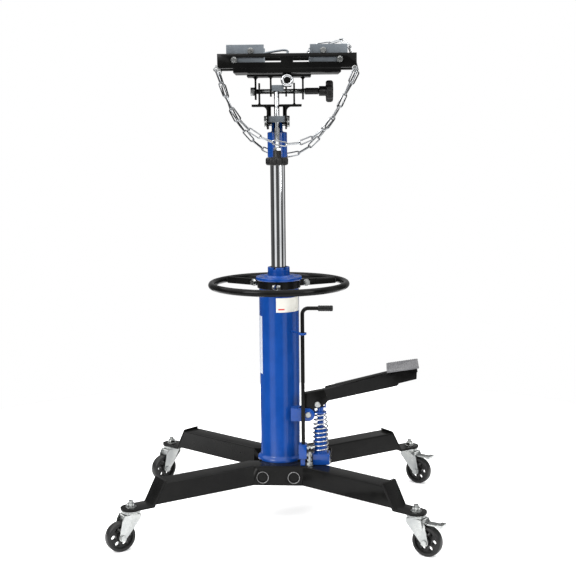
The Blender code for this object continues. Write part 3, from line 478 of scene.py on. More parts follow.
for name, (chain_y, stations) in CHAINS.items():
    stations = [HEAD @ Vector((x, chain_y, z)) for x, z in stations]
    links = round(smooth_route(stations, 10)[1] / LINK_PITCH)
    route, length = smooth_route(stations, links)
    normal = (HEAD.to_3x3() @ Vector((0.0, 1.0, 0.0))).normalized()
    bm = bmesh.new()
    add_links(bm, route, (12.0, 100.0), normal)
    chain = shape(name + "_links", bm, CHAIN_STEEL, name + "_body", [name])

# ---- Legs and base plate ------------------------------------------------------------------
# Two cranked square tubes, closed at their ends by bent castor plates, joined by a plate
# and two welded cross tubes; all powder coated gloss black.

# Its settled dust also paints a faint pale sheen on the tops of the black parts.
BLACK_COAT = finish_material(
    "gloss_black_coat",
    (0.0030, 0.0030, 0.0030), (0.0050, 0.0050, 0.0048), (0.12, 0.20), grain=420.0,
    depth=0.00003, rub=(0.025, 0.025, 0.025), rub_amount=0.5, dust_and_sheen=0.006, specular=0.08,
)


def carried(node, material, body, corner=0.0008):
    """The frame's own solid with its flat faces merged and its corners rounded off."""
    bm = bmesh.new()
    bm.from_mesh(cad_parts[node].data)
    bmesh.ops.remove_doubles(bm, verts=bm.verts, dist=2e-6)
    bmesh.ops.dissolve_limit(bm, angle_limit=math.radians(1.0), verts=bm.verts, edges=bm.edges)
    return shape(node + "_finished", bm, material, body, [node], bevel=corner)


def bar(bm, start, end, radius, sides=32, chamfer=0.0):
    """Adds a round bar, chamfered at both ends, between two points to a bmesh."""
    start, end = Vector(start), Vector(end)
    length = (end - start).length
    turn = (end - start).normalized().to_track_quat("Z", "Y").to_matrix()
    place = Matrix.Translation(start) @ turn.to_4x4()
    profile = [(radius, 0.0), (radius, length)]
    if chamfer:
        profile = [(radius - chamfer, 0.0), (radius, chamfer)]
        profile += [(radius, length - chamfer), (radius - chamfer, length)]
    skin(bm, [circle(bm, place, r, z, sides, 0.5) for r, z in profile], capped=True)


def bolt(bm, place, axis, across=0.0130, height=0.0053, washer=0.0, shank=0.0, nut=False):
    """Adds a hexagon head (or nut with its stud end) sitting on a face to a bmesh."""
    place, axis = Vector(place), Vector(axis).normalized()
    if washer:
        bar(bm, place, place + axis * 0.0014, washer, 28, 0.0003)
        place = place + axis * 0.0014
    bar(bm, place, place + axis * height, across / math.sqrt(3), 6, 0.0006)
    if nut:
        bar(bm, place + axis * (height - 0.0005), place + axis * (height + shank), across * 0.29, 16, 0.0006)


def weld(bm, ends, radius):
    """Adds a rippled weld bead between two points to a bmesh."""
    start, end = ends
    parts = max(1, int((end - start).length / (radius * 0.9)))
    turn = (end - start).normalized().to_track_quat("Z", "Y").to_matrix().to_4x4()
    for part in range(parts):
        matrix = Matrix.Translation(start.lerp(end, part / parts)) @ turn
        matrix = matrix @ Matrix.Diagonal((1.0, 1.0, 0.75, 1.0))
        bmesh.ops.create_uvsphere(bm, u_segments=8, v_segments=6, radius=radius, matrix=matrix)

UPRIGHT = Matrix.Rotation(math.radians(90.0), 4, "X")

def circle_path(place, radius, count):
    """Points of a circle round the Z axis of a placing matrix."""
    angles = [math.tau * step / count for step in range(count)]
    return [place @ Vector((radius * math.cos(angle), radius * math.sin(angle), 0.0)) for angle in angles]


for node in ("front_leg_tube", "rear_leg_tube"):
    leg = carried(node, BLACK_COAT, "base", 0.0028)
    weights = leg.data.attributes.new("bevel_weight_edge", "FLOAT", "EDGE")
    mesh = leg.data
    for edge in mesh.edges:
        low, high = (mesh.vertices[i].co for i in edge.vertices)
        outer = all(p.z > 0.146 or p.z < 0.099 for p in (low, high)) and (low - high).length > 0.06
        weights.data[edge.index].value = 1.0 if outer else 0.08
    leg.modifiers["Corners"].limit_method = "WEIGHT"

for node in ("base_plate", "left_cross_tube", "right_cross_tube"):
    carried(node, BLACK_COAT, "base", 0.0007)

for corner in ("front_left", "front_right", "rear_left", "rear_right"):
    carried(corner + "_castor_plate", BLACK_COAT, "base", 0.0007)

bm = bmesh.new()
for side in (-1, 1):
    y = side * (0.0795 - 0.024 - 0.0006)
    weld(bm, [BASE + Vector((-0.048, y, 0.1470)), BASE + Vector((0.120, y, 0.1470))], 0.0022)
shape("base_plate_welds", bm, BLACK_COAT, "base")

RUBBED_STEEL = finish_material(
    "rubbed_tube_ends",
    (0.20, 0.20, 0.20), (0.08, 0.08, 0.08), (0.25, 0.45), metal=0.6, grain=600.0,
)
bm = bmesh.new()
for side in (-1, 1):
    for x in (-0.037, 0.037):
        centre = BASE + Vector((x, side * 0.1047, 0.119))
        sweep(bm, circle_path(Matrix.Translation(centre) @ UPRIGHT, 0.0136, 48), 0.0009, 8, closed=True)
shape("cross_tube_rims", bm, RUBBED_STEEL, "base", smooth=60.0)
bm = bmesh.new()
for side in (-1, 1):
    for x in (-0.037, 0.037):
        bar(bm, BASE + Vector((x, side * 0.092, 0.119)), BASE + Vector((x, side * 0.1015, 0.119)), 0.0113, 40)
shape("cross_tube_plugs", bm, BLACK_COAT, "base")

# ---- Castors --------------------------------------------------------------------------------
# Zinc plated pressed steel forks with double ball races, black nylon wheels with a ring of
# lightening holes, and a foot brake on the two castors of the pedal side.

ZINC = finish_material(
    "bright_zinc_plate",
    (0.41, 0.42, 0.41), (0.30, 0.31, 0.31), (0.20, 0.36), metal=1.0, grain=900.0,
    depth=0.00002, rub=(0.35, 0.34, 0.33), rub_amount=0.3,
)
NYLON = finish_material(
    "black_nylon",
    (0.0050, 0.0050, 0.0050), (0.0090, 0.0090, 0.0090), (0.32, 0.48), grain=900.0, depth=0.00004,
    rub=(0.03, 0.03, 0.03), rub_amount=0.5, dust_and_sheen=0.02, specular=0.22,
)


def lathe(bm, profile, matrix=Matrix.Identity(4), steps=64):
    """Adds a turned shape to a bmesh from a closed or axis-to-axis profile of (radius, z)."""
    rings = [circle(bm, matrix, r, z, steps) for r, z in profile]
    skin(bm, rings, closed=len(rings[0]) > 1)


def threaded(bm, start, axis, length, radius, lead=0.0018):
    """Adds a screw thread of the given lead between two ends to a bmesh."""
    start, axis = Vector(start), Vector(axis).normalized()
    turn = axis.to_track_quat("Z", "Y").to_matrix()
    sides, per_turn, depth = 16, 4, 0.0008
    rings = []
    for row in range(int(length / lead * per_turn) + 1):
        ring = []
        for step in range(sides):
            phase = (row / per_turn - step / sides) % 1.0
            r = radius - depth * abs(2.0 * phase - 1.0)
            angle = math.tau * step / sides
            spot = Vector((r * math.cos(angle), r * math.sin(angle), lead * row / per_turn))
            ring.append(bm.verts.new(start + turn @ spot))
        rings.append(ring)
    skin(bm, rings, capped=True)


WHEEL_R = 0.0345
CASTORS = {
    "front_left": (-1, -1, 216.0), "front_right": (1, -1, -29.0),
    "rear_left": (-1, 1, 226.0), "rear_right": (1, 1, -33.0),
}


def wheel_mesh(bm):
    """Tread ring and hub about the Z axis."""
    lathe(bm, [
        (0.0262, 0.0108), (0.0275, 0.0115), (0.0310, 0.0115), (0.0330, 0.0100), (0.0342, 0.0070),
        (WHEEL_R, 0.0), (0.0342, -0.0070), (0.0330, -0.0100), (0.0310, -0.0115), (0.0275, -0.0115),
        (0.0262, -0.0108), (0.0255, -0.0060), (0.0255, 0.0060),
    ], steps=72)
    lathe(bm, [
        (0.0044, 0.0118), (0.0088, 0.0118), (0.0096, 0.0108), (0.0100, 0.0060),
        (0.0100, -0.0060), (0.0096, -0.0108), (0.0088, -0.0118), (0.0044, -0.0118),
    ], steps=40)


def web_mesh(bm):
    """The wheel's web between hub and tread as a plate with round holes through it."""
    holes, hole_r, inner, outer, half = 6, 0.0060, 0.0098, 0.0258, 0.0058
    sides = 12
    for index in range(holes):
        middle_angle = math.tau * index / holes
        step = math.tau / holes
        centre = Vector((0.0178 * math.cos(middle_angle), 0.0178 * math.sin(middle_angle), 0.0))
        outline = []
        for part in range(4):
            angle = middle_angle - step / 2 + step * part / 3
            outline.append(Vector((outer * math.cos(angle), outer * math.sin(angle), 0.0)))
        for part in range(4):
            angle = middle_angle + step / 2 - step * part / 3
            outline.append(Vector((inner * math.cos(angle), inner * math.sin(angle), 0.0)))
        rim = []
        for point in outline:
            rim.append(centre + (point - centre).normalized() * hole_r)
        for (a, b), (c, d) in zip(
            zip(outline, outline[1:] + outline[:1]), zip(rim, rim[1:] + rim[:1])
        ):
            arc_points = []
            first, second = (c - centre), (d - centre)
            spread = first.angle(second)
            parts = max(1, round(spread / (math.tau / (sides * 2))))
            turn = 1.0 if first.cross(second).z > 0 else -1.0
            for part in range(parts + 1):
                arc_points.append(centre + Matrix.Rotation(turn * spread * part / parts, 3, "Z") @ first)
            for z, order in ((half, 1), (-half, -1)):
                lift = Vector((0.0, 0.0, z))
                loop = [a + lift, b + lift] + [p + lift for p in reversed(arc_points)]
                verts = [bm.verts.new(p) for p in loop][::order]
                bm.faces.new(verts)
            for p, q in zip(arc_points, arc_points[1:]):
                bm.faces.new([bm.verts.new(p + Vector((0, 0, z))) for z in (half, -half)]
                             + [bm.verts.new(q + Vector((0, 0, z))) for z in (-half, half)])


for corner, (hand, side, heading) in CASTORS.items():
    angle = math.radians(36.6)
    stem = BASE + Vector((
        hand * (0.066 + 0.316 * math.cos(angle)), side * (0.0795 + 0.316 * math.sin(angle)), 0.0
    ))
    swivel = Matrix.Translation(stem) @ Matrix.Rotation(math.radians(heading), 4, "Z")
    upright_wheel = swivel @ Matrix.Translation((0.028, 0.0, WHEEL_R)) @ UPRIGHT

    carried(corner + "_fork", ZINC, corner + "_fork_body", 0.0006)
    bm = bmesh.new()
    bar(bm, stem + Vector((0, 0, 0.0981)), stem + Vector((0, 0, 0.0994)), 0.0125, 40, 0.0003)
    bar(bm, stem + Vector((0, 0, 0.0994)), stem + Vector((0, 0, 0.1068)), 0.0098, 6, 0.0008)
    threaded(bm, stem + Vector((0, 0, 0.1060)), (0, 0, 1), 0.0070, 0.0056, 0.0015)
    shape(corner + "_stem_nut", bm, ZINC, "base", smooth=30.0)
    bm = bmesh.new()
    lathe(bm, [
        (0.0, 0.0926), (0.0205, 0.0926), (0.0222, 0.0915), (0.0222, 0.0902), (0.0200, 0.0896),
        (0.0214, 0.0886), (0.0214, 0.0868), (0.0196, 0.0852), (0.0, 0.0852),
    ], swivel)
    shape(corner + "_ball_races", bm, ZINC, corner + "_fork_body")
    bm = bmesh.new()
    for end in (-1, 1):
        bolt(bm, swivel @ Vector((0.028, end * 0.0161, WHEEL_R)), swivel.to_3x3() @ Vector((0, end, 0)),
             0.0125, 0.0042, washer=0.0075, nut=end > 0, shank=0.0012)
    shape(corner + "_axle_bolt", bm, ZINC, corner + "_fork_body", smooth=30.0)

    bm = bmesh.new()
    wheel_mesh(bm)
    shape(corner + "_tread", bm, NYLON, corner + "_wheel_body",
          [corner + "_wheel"], matrix=upright_wheel, smooth=50.0)
    bm = bmesh.new()
    web_mesh(bm)
    bmesh.ops.remove_doubles(bm, verts=bm.verts, dist=1e-6)
    shape(corner + "_web", bm, NYLON, corner + "_wheel_body", matrix=upright_wheel)
    if hand > 0:
        carried(corner + "_brake", ZINC, corner + "_brake_body", 0.0010)

# ---- Column, flange and steering hoop ----------------------------------------------------------
# Blue enamelled cylinder with a welded foot ring and a bolted top flange; a black tubular
# hoop on three flat spokes is clamped round its top.

BLUE_ENAMEL = finish_material(
    "royal_blue_enamel",
    (0.0028, 0.034, 0.175), (0.0038, 0.041, 0.205), (0.12, 0.19), grain=300.0,
    depth=0.00002, rub=(0.10, 0.18, 0.34), rub_amount=0.4, dust_and_sheen=0.02, specular=0.30,
)
COLUMN_AT = Matrix.Translation(COLUMN)

bm = bmesh.new()
lathe(bm, [
    (0.0430, 0.5815), (0.0470, 0.5815), (0.0475, 0.5810), (0.0475, 0.1600), (0.0490, 0.1570),
    (0.0525, 0.1545), (0.0550, 0.1515), (0.0550, 0.1468), (0.0040, 0.1468), (0.0040, 0.1550), (0.0430, 0.1550),
], COLUMN_AT, 96)
shape("column_cylinder", bm, BLUE_ENAMEL, "base", ["column_tube"], smooth=40.0)

bm = bmesh.new()
lathe(bm, [
    (0.0253, 0.5900), (0.0265, 0.5900), (0.0270, 0.5894), (0.0535, 0.5894), (0.0543, 0.5888), (0.0545, 0.5880),
    (0.0545, 0.5835), (0.0541, 0.5825), (0.0535, 0.5818), (0.0427, 0.5818), (0.0427, 0.5600), (0.0253, 0.5600),
], COLUMN_AT, 96)
shape("column_flange", bm, BLUE_ENAMEL, "base", ["column_head"], smooth=30.0)

bm = bmesh.new()
lathe(bm, [
    (0.0272, 0.5892), (0.0272, 0.5936), (0.0310, 0.5936), (0.0335, 0.5928), (0.0345, 0.5914),
    (0.0365, 0.5900), (0.0400, 0.5892),
], COLUMN_AT, 96)
shape("flange_step", bm, BLUE_ENAMEL, "base", smooth=40.0)

bm = bmesh.new()
for index in range(6):
    angle = math.radians(30.0 + 60.0 * index)
    spot = COLUMN + Vector((0.0465 * math.cos(angle), 0.0465 * math.sin(angle), 0.5880))
    bar(bm, spot, spot + Vector((0, 0, 0.0022)), 0.0042, 20, 0.0004)
shape("flange_screws", bm, BLUE_ENAMEL, "base")

bm = bmesh.new()
lathe(bm, [
    (0.0478, 0.5812), (0.0510, 0.5812), (0.0515, 0.5806), (0.0515, 0.5636), (0.0510, 0.5630), (0.0478, 0.5630),
], COLUMN_AT, 96)
shape("hoop_clamp", bm, BLACK_COAT, "base", ["hoop_collar"])

HOOP_Z = 0.5708
bm = bmesh.new()
hoop = circle_path(Matrix.Translation(COLUMN + Vector((0.0, 0.0, HOOP_Z))), 0.1601, 144)
sweep(bm, hoop, 0.0081, 20, closed=True)
shape("hoop_ring", bm, BLACK_COAT, "base", ["steering_hoop"], smooth=60.0)

for word, angle in (("right", 30.0), ("left", 150.0), ("front", 270.0)):
    carried(word + "_hoop_spoke", BLACK_COAT, "base", 0.0008)
    out = Vector((math.cos(math.radians(angle)), math.sin(math.radians(angle)), 0.0))
    across = Vector((-out.y, out.x, 0.0))
    bm = bmesh.new()
    for side in (-1, 1):
        near = COLUMN + out * 0.0512 + across * side * 0.0032
        weld(bm, [near + Vector((0, 0, HOOP_Z - 0.007)), near + Vector((0, 0, HOOP_Z + 0.007))], 0.0018)
        far = COLUMN + out * 0.1515 + across * side * 0.0032
        weld(bm, [far + Vector((0, 0, HOOP_Z - 0.005)), far + Vector((0, 0, HOOP_Z + 0.005))], 0.0018)
    shape(word + "_spoke_welds", bm, BLACK_COAT, "base", smooth=30.0)
    bm = bmesh.new()
    for side in (-1, 1):
        bolt(bm, COLUMN + out * 0.072 + across * side * 0.0025 + Vector((0, 0, HOOP_Z - 0.001)), across * side,
             0.0130, 0.0055, washer=0.0085)
    shape(word + "_spoke_bolts", bm, ZINC, "base", smooth=30.0)

# Plain foil patches wrap the cylinder: a cream one with a red bar near its top and a tall
# white strip down its left side, all without wording.


def foil(name, paper):
    """Semi-gloss foil of one colour, a little uneven."""
    material = bpy.data.materials.new(name)
    material.use_nodes = True
    tree = material.node_tree
    shader = tree.nodes["Principled BSDF"]
    shader.inputs["Coat Weight"].default_value = 0.35
    grained = placed(tree, SURFACE_GRAIN, Grain_Scale=260.0, Mottle_Scale=60.0)
    colour = mix_colour(tree, grained.outputs["Mottle"], paper, tuple(0.94 * c for c in paper))
    tree.links.new(colour, shader.inputs["Base Color"])
    tree.links.new(ramp(tree, grained.outputs["Mottle"], 0.0, 1.0, 0.30, 0.42), shader.inputs["Roughness"])
    add_bump(tree, grained.outputs["Height"], 0.00002, shader)
    return material


def arc_block(bm, profile, start, end, steps):
    """Adds a stretch of a ring about the column between two angles in degrees."""
    rings = []
    for step in range(steps + 1):
        turn = Matrix.Rotation(math.radians(start + (end - start) * step / steps), 3, "Z")
        rings.append([bm.verts.new(COLUMN + turn @ Vector((r, 0.0, z))) for r, z in profile])
    skin(bm, rings, capped=True)

def patch(name, start, end, low, high, material, lift=0.0):
    """Thin foil on the cylinder between two angles (degrees) and two heights."""
    inner, outer = 0.0476 + lift, 0.0478 + lift
    bm = bmesh.new()
    arc_block(bm, [(inner, low), (outer, low), (outer, high), (inner, high)], start, end, 24)
    shape(name, bm, material, "base")


patch("front_foil", 266.0, 350.0, 0.509, 0.543, foil("cream_foil", (0.58, 0.57, 0.52)))
patch("front_foil_bar", 272.0, 290.0, 0.5145, 0.5178, foil("red_foil", (0.50, 0.030, 0.025)), 0.00015)
patch("side_foil", 160.0, 216.0, 0.358, 0.497, foil("white_foil", (0.42, 0.45, 0.52)))

# ---- Telescopic stages ---------------------------------------------------------------------------
# Hard chromed tube and ram, ground and polished, with the blue gland nut of the first stage.

CHROME = finish_material(
    "polished_chrome",
    (0.56, 0.57, 0.58), (0.48, 0.49, 0.50), (0.05, 0.10), metal=1.0, grain=1500.0,
    depth=0.0000012, lines=True,
)
bm = bmesh.new()
lathe(bm, [
    (0.0205, 0.5903), (0.0245, 0.5903), (0.0250, 0.5898), (0.0250, 0.1995), (0.0426, 0.1995), (0.0426, 0.1850),
    (0.0205, 0.1850),
], COLUMN_AT, 96)
shape("first_stage", bm, CHROME, "first_stage", ["first_stage_tube"])

bm = bmesh.new()
lathe(bm, [
    (0.0178, 0.6075), (0.0262, 0.6075), (0.0262, 0.5925), (0.0258, 0.5914), (0.0250, 0.5906), (0.0178, 0.5906),
], COLUMN_AT, 96)
shape("gland_nut", bm, BLUE_ENAMEL, "first_stage", ["first_stage_nut"], smooth=30.0)
bm = bmesh.new()
tooth = [(0.0180, 0.6070), (0.0180, 0.6118), (0.0256, 0.6118), (0.0261, 0.6112), (0.0261, 0.6070)]
for index in range(6):
    arc_block(bm, tooth, 60.0 * index + 20.0, 60.0 * index + 62.0, 8)
shape("gland_nut_castellations", bm, BLUE_ENAMEL, "first_stage", smooth=30.0)
bm = bmesh.new()
lathe(bm, [
    (0.0176, 0.6128), (0.0186, 0.6136), (0.0192, 0.6128), (0.0192, 0.6110), (0.0177, 0.6110),
], COLUMN_AT, 64)
shape("gland_wiper", bm, NYLON, "first_stage")

bm = bmesh.new()
lathe(bm, [
    (0.0, 0.9150), (0.0168, 0.9150), (0.0175, 0.9142), (0.0175, 0.4600), (0.0202, 0.4600), (0.0202, 0.4450),
    (0.0, 0.4450),
], COLUMN_AT, 96)
shape("ram", bm, CHROME, "second_stage", ["second_stage_ram"])

# ---- Pump ------------------------------------------------------------------------------------------
# Enamelled pump block and barrel beside the column, its plunger pushed up by a coil spring,
# with the valve block, the hinge lug and the plated fittings between them.


def beside(x, y, z):
    """Point given from the column's foot."""
    return COLUMN + Vector((x, y, z))

PUMP_X = 0.0995
PUMP_Y = -0.047
ROD_Y = -0.069


carried("pump_body", BLUE_ENAMEL, "base", 0.0012)
carried("valve_block", BLUE_ENAMEL, "base", 0.0010)
carried("pedal_lug", BLUE_ENAMEL, "base", 0.0008)
carried("rod_guide", BLUE_ENAMEL, "base", 0.0008)
carried("pump_piston", BLUE_ENAMEL, "piston", 0.0007)
carried("pedal_pivot_pin", ZINC, "base", 0.0008)

bm = bmesh.new()
bar(bm, beside(PUMP_X, PUMP_Y, 0.2315), beside(PUMP_X, PUMP_Y, 0.2345), 0.0128, 40, 0.0008)
bar(bm, beside(PUMP_X, PUMP_Y, 0.1715), beside(PUMP_X, PUMP_Y, 0.1770), 0.0168, 6, 0.0008)
shape("barrel_gland", bm, BLUE_ENAMEL, "base")

bm = bmesh.new()
bar(bm, beside(0.0675, -0.066, 0.1890), beside(0.0860, -0.062, 0.1890), 0.0036, 20, 0.0004)
bolt(bm, beside(0.0676, -0.066, 0.1890), (1, 0, 0), 0.0100, 0.0050)
bolt(bm, beside(0.0765, -0.064, 0.1890), (1, 0, 0), 0.0090, 0.0045)
bar(bm, beside(0.0745, -0.073, 0.1470), beside(0.0745, -0.073, 0.1800), 0.0040, 20, 0.0005)
bolt(bm, beside(0.0745, -0.073, 0.1472), (0, 0, 1), 0.0120, 0.0065, washer=0.0080)
bolt(bm, beside(0.0745, -0.073, 0.1580), (0, 0, 1), 0.0105, 0.0060)
bolt(bm, beside(0.0745, -0.073, 0.1690), (0, 0, 1), 0.0115, 0.0075)
bolt(bm, beside(0.0675, -0.073, 0.1735), (1, 0, 0), 0.0080, 0.0040)
shape("pump_fittings", bm, ZINC, "base", smooth=30.0)

bm = bmesh.new()
coil = []
for step in range(9 * 24 + 1):
    part = step / (9 * 24)
    angle = math.tau * 9 * part
    z = 0.1740 + 0.0935 * part
    r = 0.0172 - 0.0037 * max(0.0, (z - 0.236) / 0.0315)
    coil.append(beside(PUMP_X + r * math.cos(angle), PUMP_Y + r * math.sin(angle), z))
sweep(bm, coil, 0.0017, 10)
SPRING_WIRE = finish_material(
    "bright_spring_wire",
    (0.45, 0.45, 0.47), (0.33, 0.34, 0.35), (0.18, 0.30), metal=1.0, grain=1200.0,
    depth=0.00001,
)
spring = shape("pump_spring", bm, SPRING_WIRE, "base", ["return_spring"], smooth=60.0)
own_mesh(spring)

# ---- Pump pedal and release rod -----------------------------------------------------------------------
# Pressed and welded black lever with a ribbed rubber foot pad, and a bent rod with a
# plastic grip that opens the lowering valve.

carried("pedal_lever", BLACK_COAT, "pedal", 0.0009)
RUBBER = finish_material(
    "grey_checker_rubber",
    (0.075, 0.075, 0.080), (0.120, 0.120, 0.125), (0.55, 0.72), grain=900.0,
    depth=0.00006, rub=(0.22, 0.22, 0.22), rub_amount=0.7, dust_and_sheen=0.08, specular=0.3,
)
carried("pedal_pad", RUBBER, "pedal", 0.0010)
pad_frame = Matrix.Translation(beside(0.2925, PUMP_Y, 0.3835)) @ Matrix.Rotation(-0.151, 4, "Y")
bm = bmesh.new()
PAD_CELL = 0.0052
for row in range(-6, 7):
    for column in range(-8, 9):
        if abs(row * PAD_CELL) < 0.0345 and abs(column * PAD_CELL) < 0.0430:
            stud = pad_frame @ Matrix.Translation((row * PAD_CELL, column * PAD_CELL, 0.0023))
            skin(bm, [circle(bm, stud, 0.0024, 0.0, 4), circle(bm, stud, 0.0011, 0.0013, 4)], capped=True)
shape("pad_studs", bm, RUBBER, "pedal", smooth=0)

bm = bmesh.new()
weld(bm, [beside(0.1185, -0.0580, 0.3025), beside(0.1095, -0.0580, 0.3275)], 0.0016)
weld(bm, [beside(0.1185, -0.0360, 0.3025), beside(0.1095, -0.0360, 0.3275)], 0.0016)
shape("lever_welds", bm, BLACK_COAT, "pedal")
bm = bmesh.new()
for side in (-1, 1):
    inner, outer = PUMP_Y + side * 0.0108, PUMP_Y + side * 0.0150
    bar(bm, beside(0.093, inner, 0.291), beside(0.093, outer, 0.291), 0.0072, 32, 0.0014)
shape("plunger_pin_heads", bm, ZINC, "pedal")
bm = bmesh.new()
for side in (-1, 1):
    inner, outer = PUMP_Y + side * 0.0160, PUMP_Y + side * 0.0192
    bar(bm, beside(0.071, inner, 0.267), beside(0.071, outer, 0.267), 0.0068, 32, 0.0012)
shape("pivot_pin_heads", bm, ZINC, "base")

bm = bmesh.new()
rod_path = [beside(0.0595, ROD_Y, 0.199), beside(0.0595, ROD_Y, 0.350)]
for step in range(13):
    angle = math.radians(180.0 - 7.5 * step)
    rod_path.append(beside(0.0735 + 0.014 * math.cos(angle), ROD_Y, 0.509 + 0.014 * math.sin(angle)))
rod_path.append(beside(0.0960, ROD_Y, 0.523))
sweep(bm, rod_path, 0.0046, 20)
shape("release_bar", bm, BLACK_COAT, "release", ["release_rod"], smooth=60.0)

bm = bmesh.new()
grip = [(0.0, 0.0), (0.0058, 0.0), (0.0066, 0.0008), (0.0069, 0.0030)]
for index in range(6):
    z = 0.0050 + 0.0042 * index
    grip += [(0.0069, z), (0.0063, z + 0.0006), (0.0063, z + 0.0014), (0.0069, z + 0.0020)]
grip += [(0.0069, 0.0320), (0.0064, 0.0336), (0.0050, 0.0345), (0.0, 0.0347)]
grip_place = Matrix.Translation(beside(0.0963, ROD_Y, 0.523)) @ Matrix.Rotation(math.radians(90.0), 4, "Y")
lathe(bm, grip, grip_place, 40)
shape("release_grip_sleeve", bm, NYLON, "release", ["release_grip"])

# ---- Head: socket, yokes and tilt screws ------------------------------------------------------------
# A blue socket on the ram carries two folded black yokes; a screw with a star knob tilts
# the saddle front to back and a cross screw with another tilts it sideways.


def on_head(x, y, z):
    """Point in the head's own frame, which is turned a little about the column."""
    return HEAD @ Vector((x, y, z))


def head_way(x, y, z):
    """Direction in the head's own frame."""
    return HEAD.to_3x3() @ Vector((x, y, z))

SCREW_Y = -0.053
SIDE_SCREW_Z = 1.023
ROLL_X = 0.0245
ROLL_Z = 1.046


bm = bmesh.new()
lathe(bm, [
    (0.0, 0.9620), (0.0122, 0.9620), (0.0130, 0.9612), (0.0130, 0.9320), (0.0150, 0.9300), (0.0215, 0.9290),
    (0.0228, 0.9280), (0.0230, 0.9268), (0.0230, 0.8720), (0.0224, 0.8710), (0.0178, 0.8710),
    (0.0178, 0.9153), (0.0, 0.9153),
], HEAD, 80)
shape("saddle_post", bm, BLUE_ENAMEL, "head", ["saddle_socket"], smooth=30.0)
bm = bmesh.new()
bolt(bm, on_head(0.0, -0.0228, 0.898), head_way(0, -1, 0), 0.0100, 0.0045)
bolt(bm, on_head(0.0, 0.0228, 0.898), head_way(0, 1, 0), 0.0100, 0.0045)
shape("socket_screws", bm, ZINC, "head", smooth=30.0)

DARK_ZINC = finish_material(
    "dull_dark_zinc",
    (0.17, 0.19, 0.21), (0.11, 0.125, 0.14), (0.34, 0.52), metal=0.85, grain=500.0,
    depth=0.00003, rub=(0.40, 0.41, 0.42), rub_amount=0.6,
)
carried("lower_yoke", BLACK_COAT, "head", 0.0006)
carried("trunnion_block", DARK_ZINC, "head", 0.0006)
carried("yoke_pin", ZINC, "head", 0.0005)
carried("upper_trunnion", DARK_ZINC, "pitch_nut", 0.0018)
carried("upper_yoke", BLACK_COAT, "tilt_frame", 0.0006)
EYE = HEAD @ Matrix.Translation((ROLL_X, -0.0735, ROLL_Z)) @ UPRIGHT
bm = bmesh.new()
lathe(bm, [
    (0.0075, 0.0010), (0.0082, 0.0028), (0.0105, 0.0040), (0.0128, 0.0032), (0.0145, 0.0008), (0.0145, -0.0016),
    (0.0130, -0.0024), (0.0050, -0.0024), (0.0050, -0.0015), (0.0075, -0.0012),
], EYE, 64)
bar(bm, on_head(ROLL_X, -0.0735, ROLL_Z), on_head(ROLL_X, 0.043, ROLL_Z), 0.0050, 32, 0.0006)
shape("roll_pin_eye", bm, CHROME, "tilt_frame", ["roll_pin"], smooth=50.0)
bm = bmesh.new()
bar(bm, on_head(ROLL_X, -0.0715, ROLL_Z), on_head(ROLL_X, -0.0742, ROLL_Z), 0.0072, 6, 0.0006)
shape("roll_pin_screw", bm, BLACK_COAT, "tilt_frame", smooth=30.0)


def fillet(bm, x, z, way_x, way_z, low_y, high_y, radius):
    """Adds the inside radius of a bent plate, its corner at (x, z) on the head."""
    outline = [(x, z)]
    for step in range(7):
        angle = math.radians(15.0 * step)
        out, up = radius * (1.0 - math.sin(angle)), radius * (1.0 - math.cos(angle))
        outline.append((x + way_x * out, z + way_z * up))
    skin(bm, [[bm.verts.new(on_head(u, y, v)) for u, v in outline] for y in (low_y, high_y)], capped=True)


bm = bmesh.new()
for hand in (-1, 1):
    fillet(bm, hand * 0.0229, 0.9876, hand, -1, -0.0665, 0.0215, 0.0110)
    fillet(bm, hand * 0.0191, 0.9876, -hand, -1, -0.0380, 0.0215, 0.0050)
    for way in (-1, 1):
        fillet(bm, hand * 0.0405 + way * 0.0019, 0.9924, way, 1, -0.0120, 0.0120, 0.0050)
    for y in (0.0130, -0.0360):
        bar(bm, on_head(hand * 0.0168, y, 0.9560), on_head(hand * 0.0168, y, 0.9874), 0.0030, 16)
shape("lower_yoke_bends", bm, BLACK_COAT, "head")
bm = bmesh.new()
for x, low_y, high_y in (
    (-0.049, -0.0130, 0.0130), (0.061, -0.0130, 0.0130), (-0.013, -0.0615, -0.0405), (0.022, -0.0615, -0.0405),
):
    for way in (-1, 1):
        fillet(bm, x + way * 0.0019, 1.0551, way, -1, low_y, high_y, 0.0070)
shape("upper_yoke_bends", bm, BLACK_COAT, "tilt_frame")

bm = bmesh.new()
for hand in (-1, 1):
    bolt(bm, on_head(hand * 0.0231, 0.0, 0.948), head_way(hand, 0, 0), 0.0130, 0.0050, washer=0.0085)
    bolt(bm, on_head(hand * 0.0231, SCREW_Y, 0.959), head_way(hand, 0, 0), 0.0130, 0.0050, washer=0.0085)
shape("yoke_bolts", bm, ZINC, "head", smooth=30.0)


def star_knob(name, matrix, hub_r, hub_length, star_r, star_length, body, node):
    """Moulded star knob with seven soft lobes; its outer face is at the matrix's origin."""
    bm = bmesh.new()
    flat = Matrix.Identity(4)
    steps = 84
    rings = [circle(bm, flat, 0.0, 0.0016, steps)]
    for share, z in (
        (0.30, 0.0012), (0.36, 0.0), (0.80, 0.0), (0.93, 0.0012), (0.99, 0.0040), (1.0, 0.0070),
        (1.0, star_length - 0.0050), (0.97, star_length - 0.0022), (0.88, star_length),
    ):
        ring = []
        for step in range(steps):
            angle = math.tau * step / steps
            dip = 0.0062 * ((1.0 + math.cos(7 * angle)) / 2.0) ** 1.6
            r = (star_r - dip) * share if share > 0.5 else star_r * share
            ring.append(bm.verts.new(Vector((r * math.cos(angle), r * math.sin(angle), z))))
        rings.append(ring)
    top = star_length + hub_length
    for r, z in (
        (hub_r + 0.0015, star_length), (hub_r, star_length + 0.0015), (hub_r, top - 0.0008),
        (hub_r - 0.0008, top), (0.0, top),
    ):
        rings.append(circle(bm, flat, r, z, steps))
    skin(bm, rings)
    shape(name, bm, NYLON, body, [node], matrix=matrix, smooth=45.0)


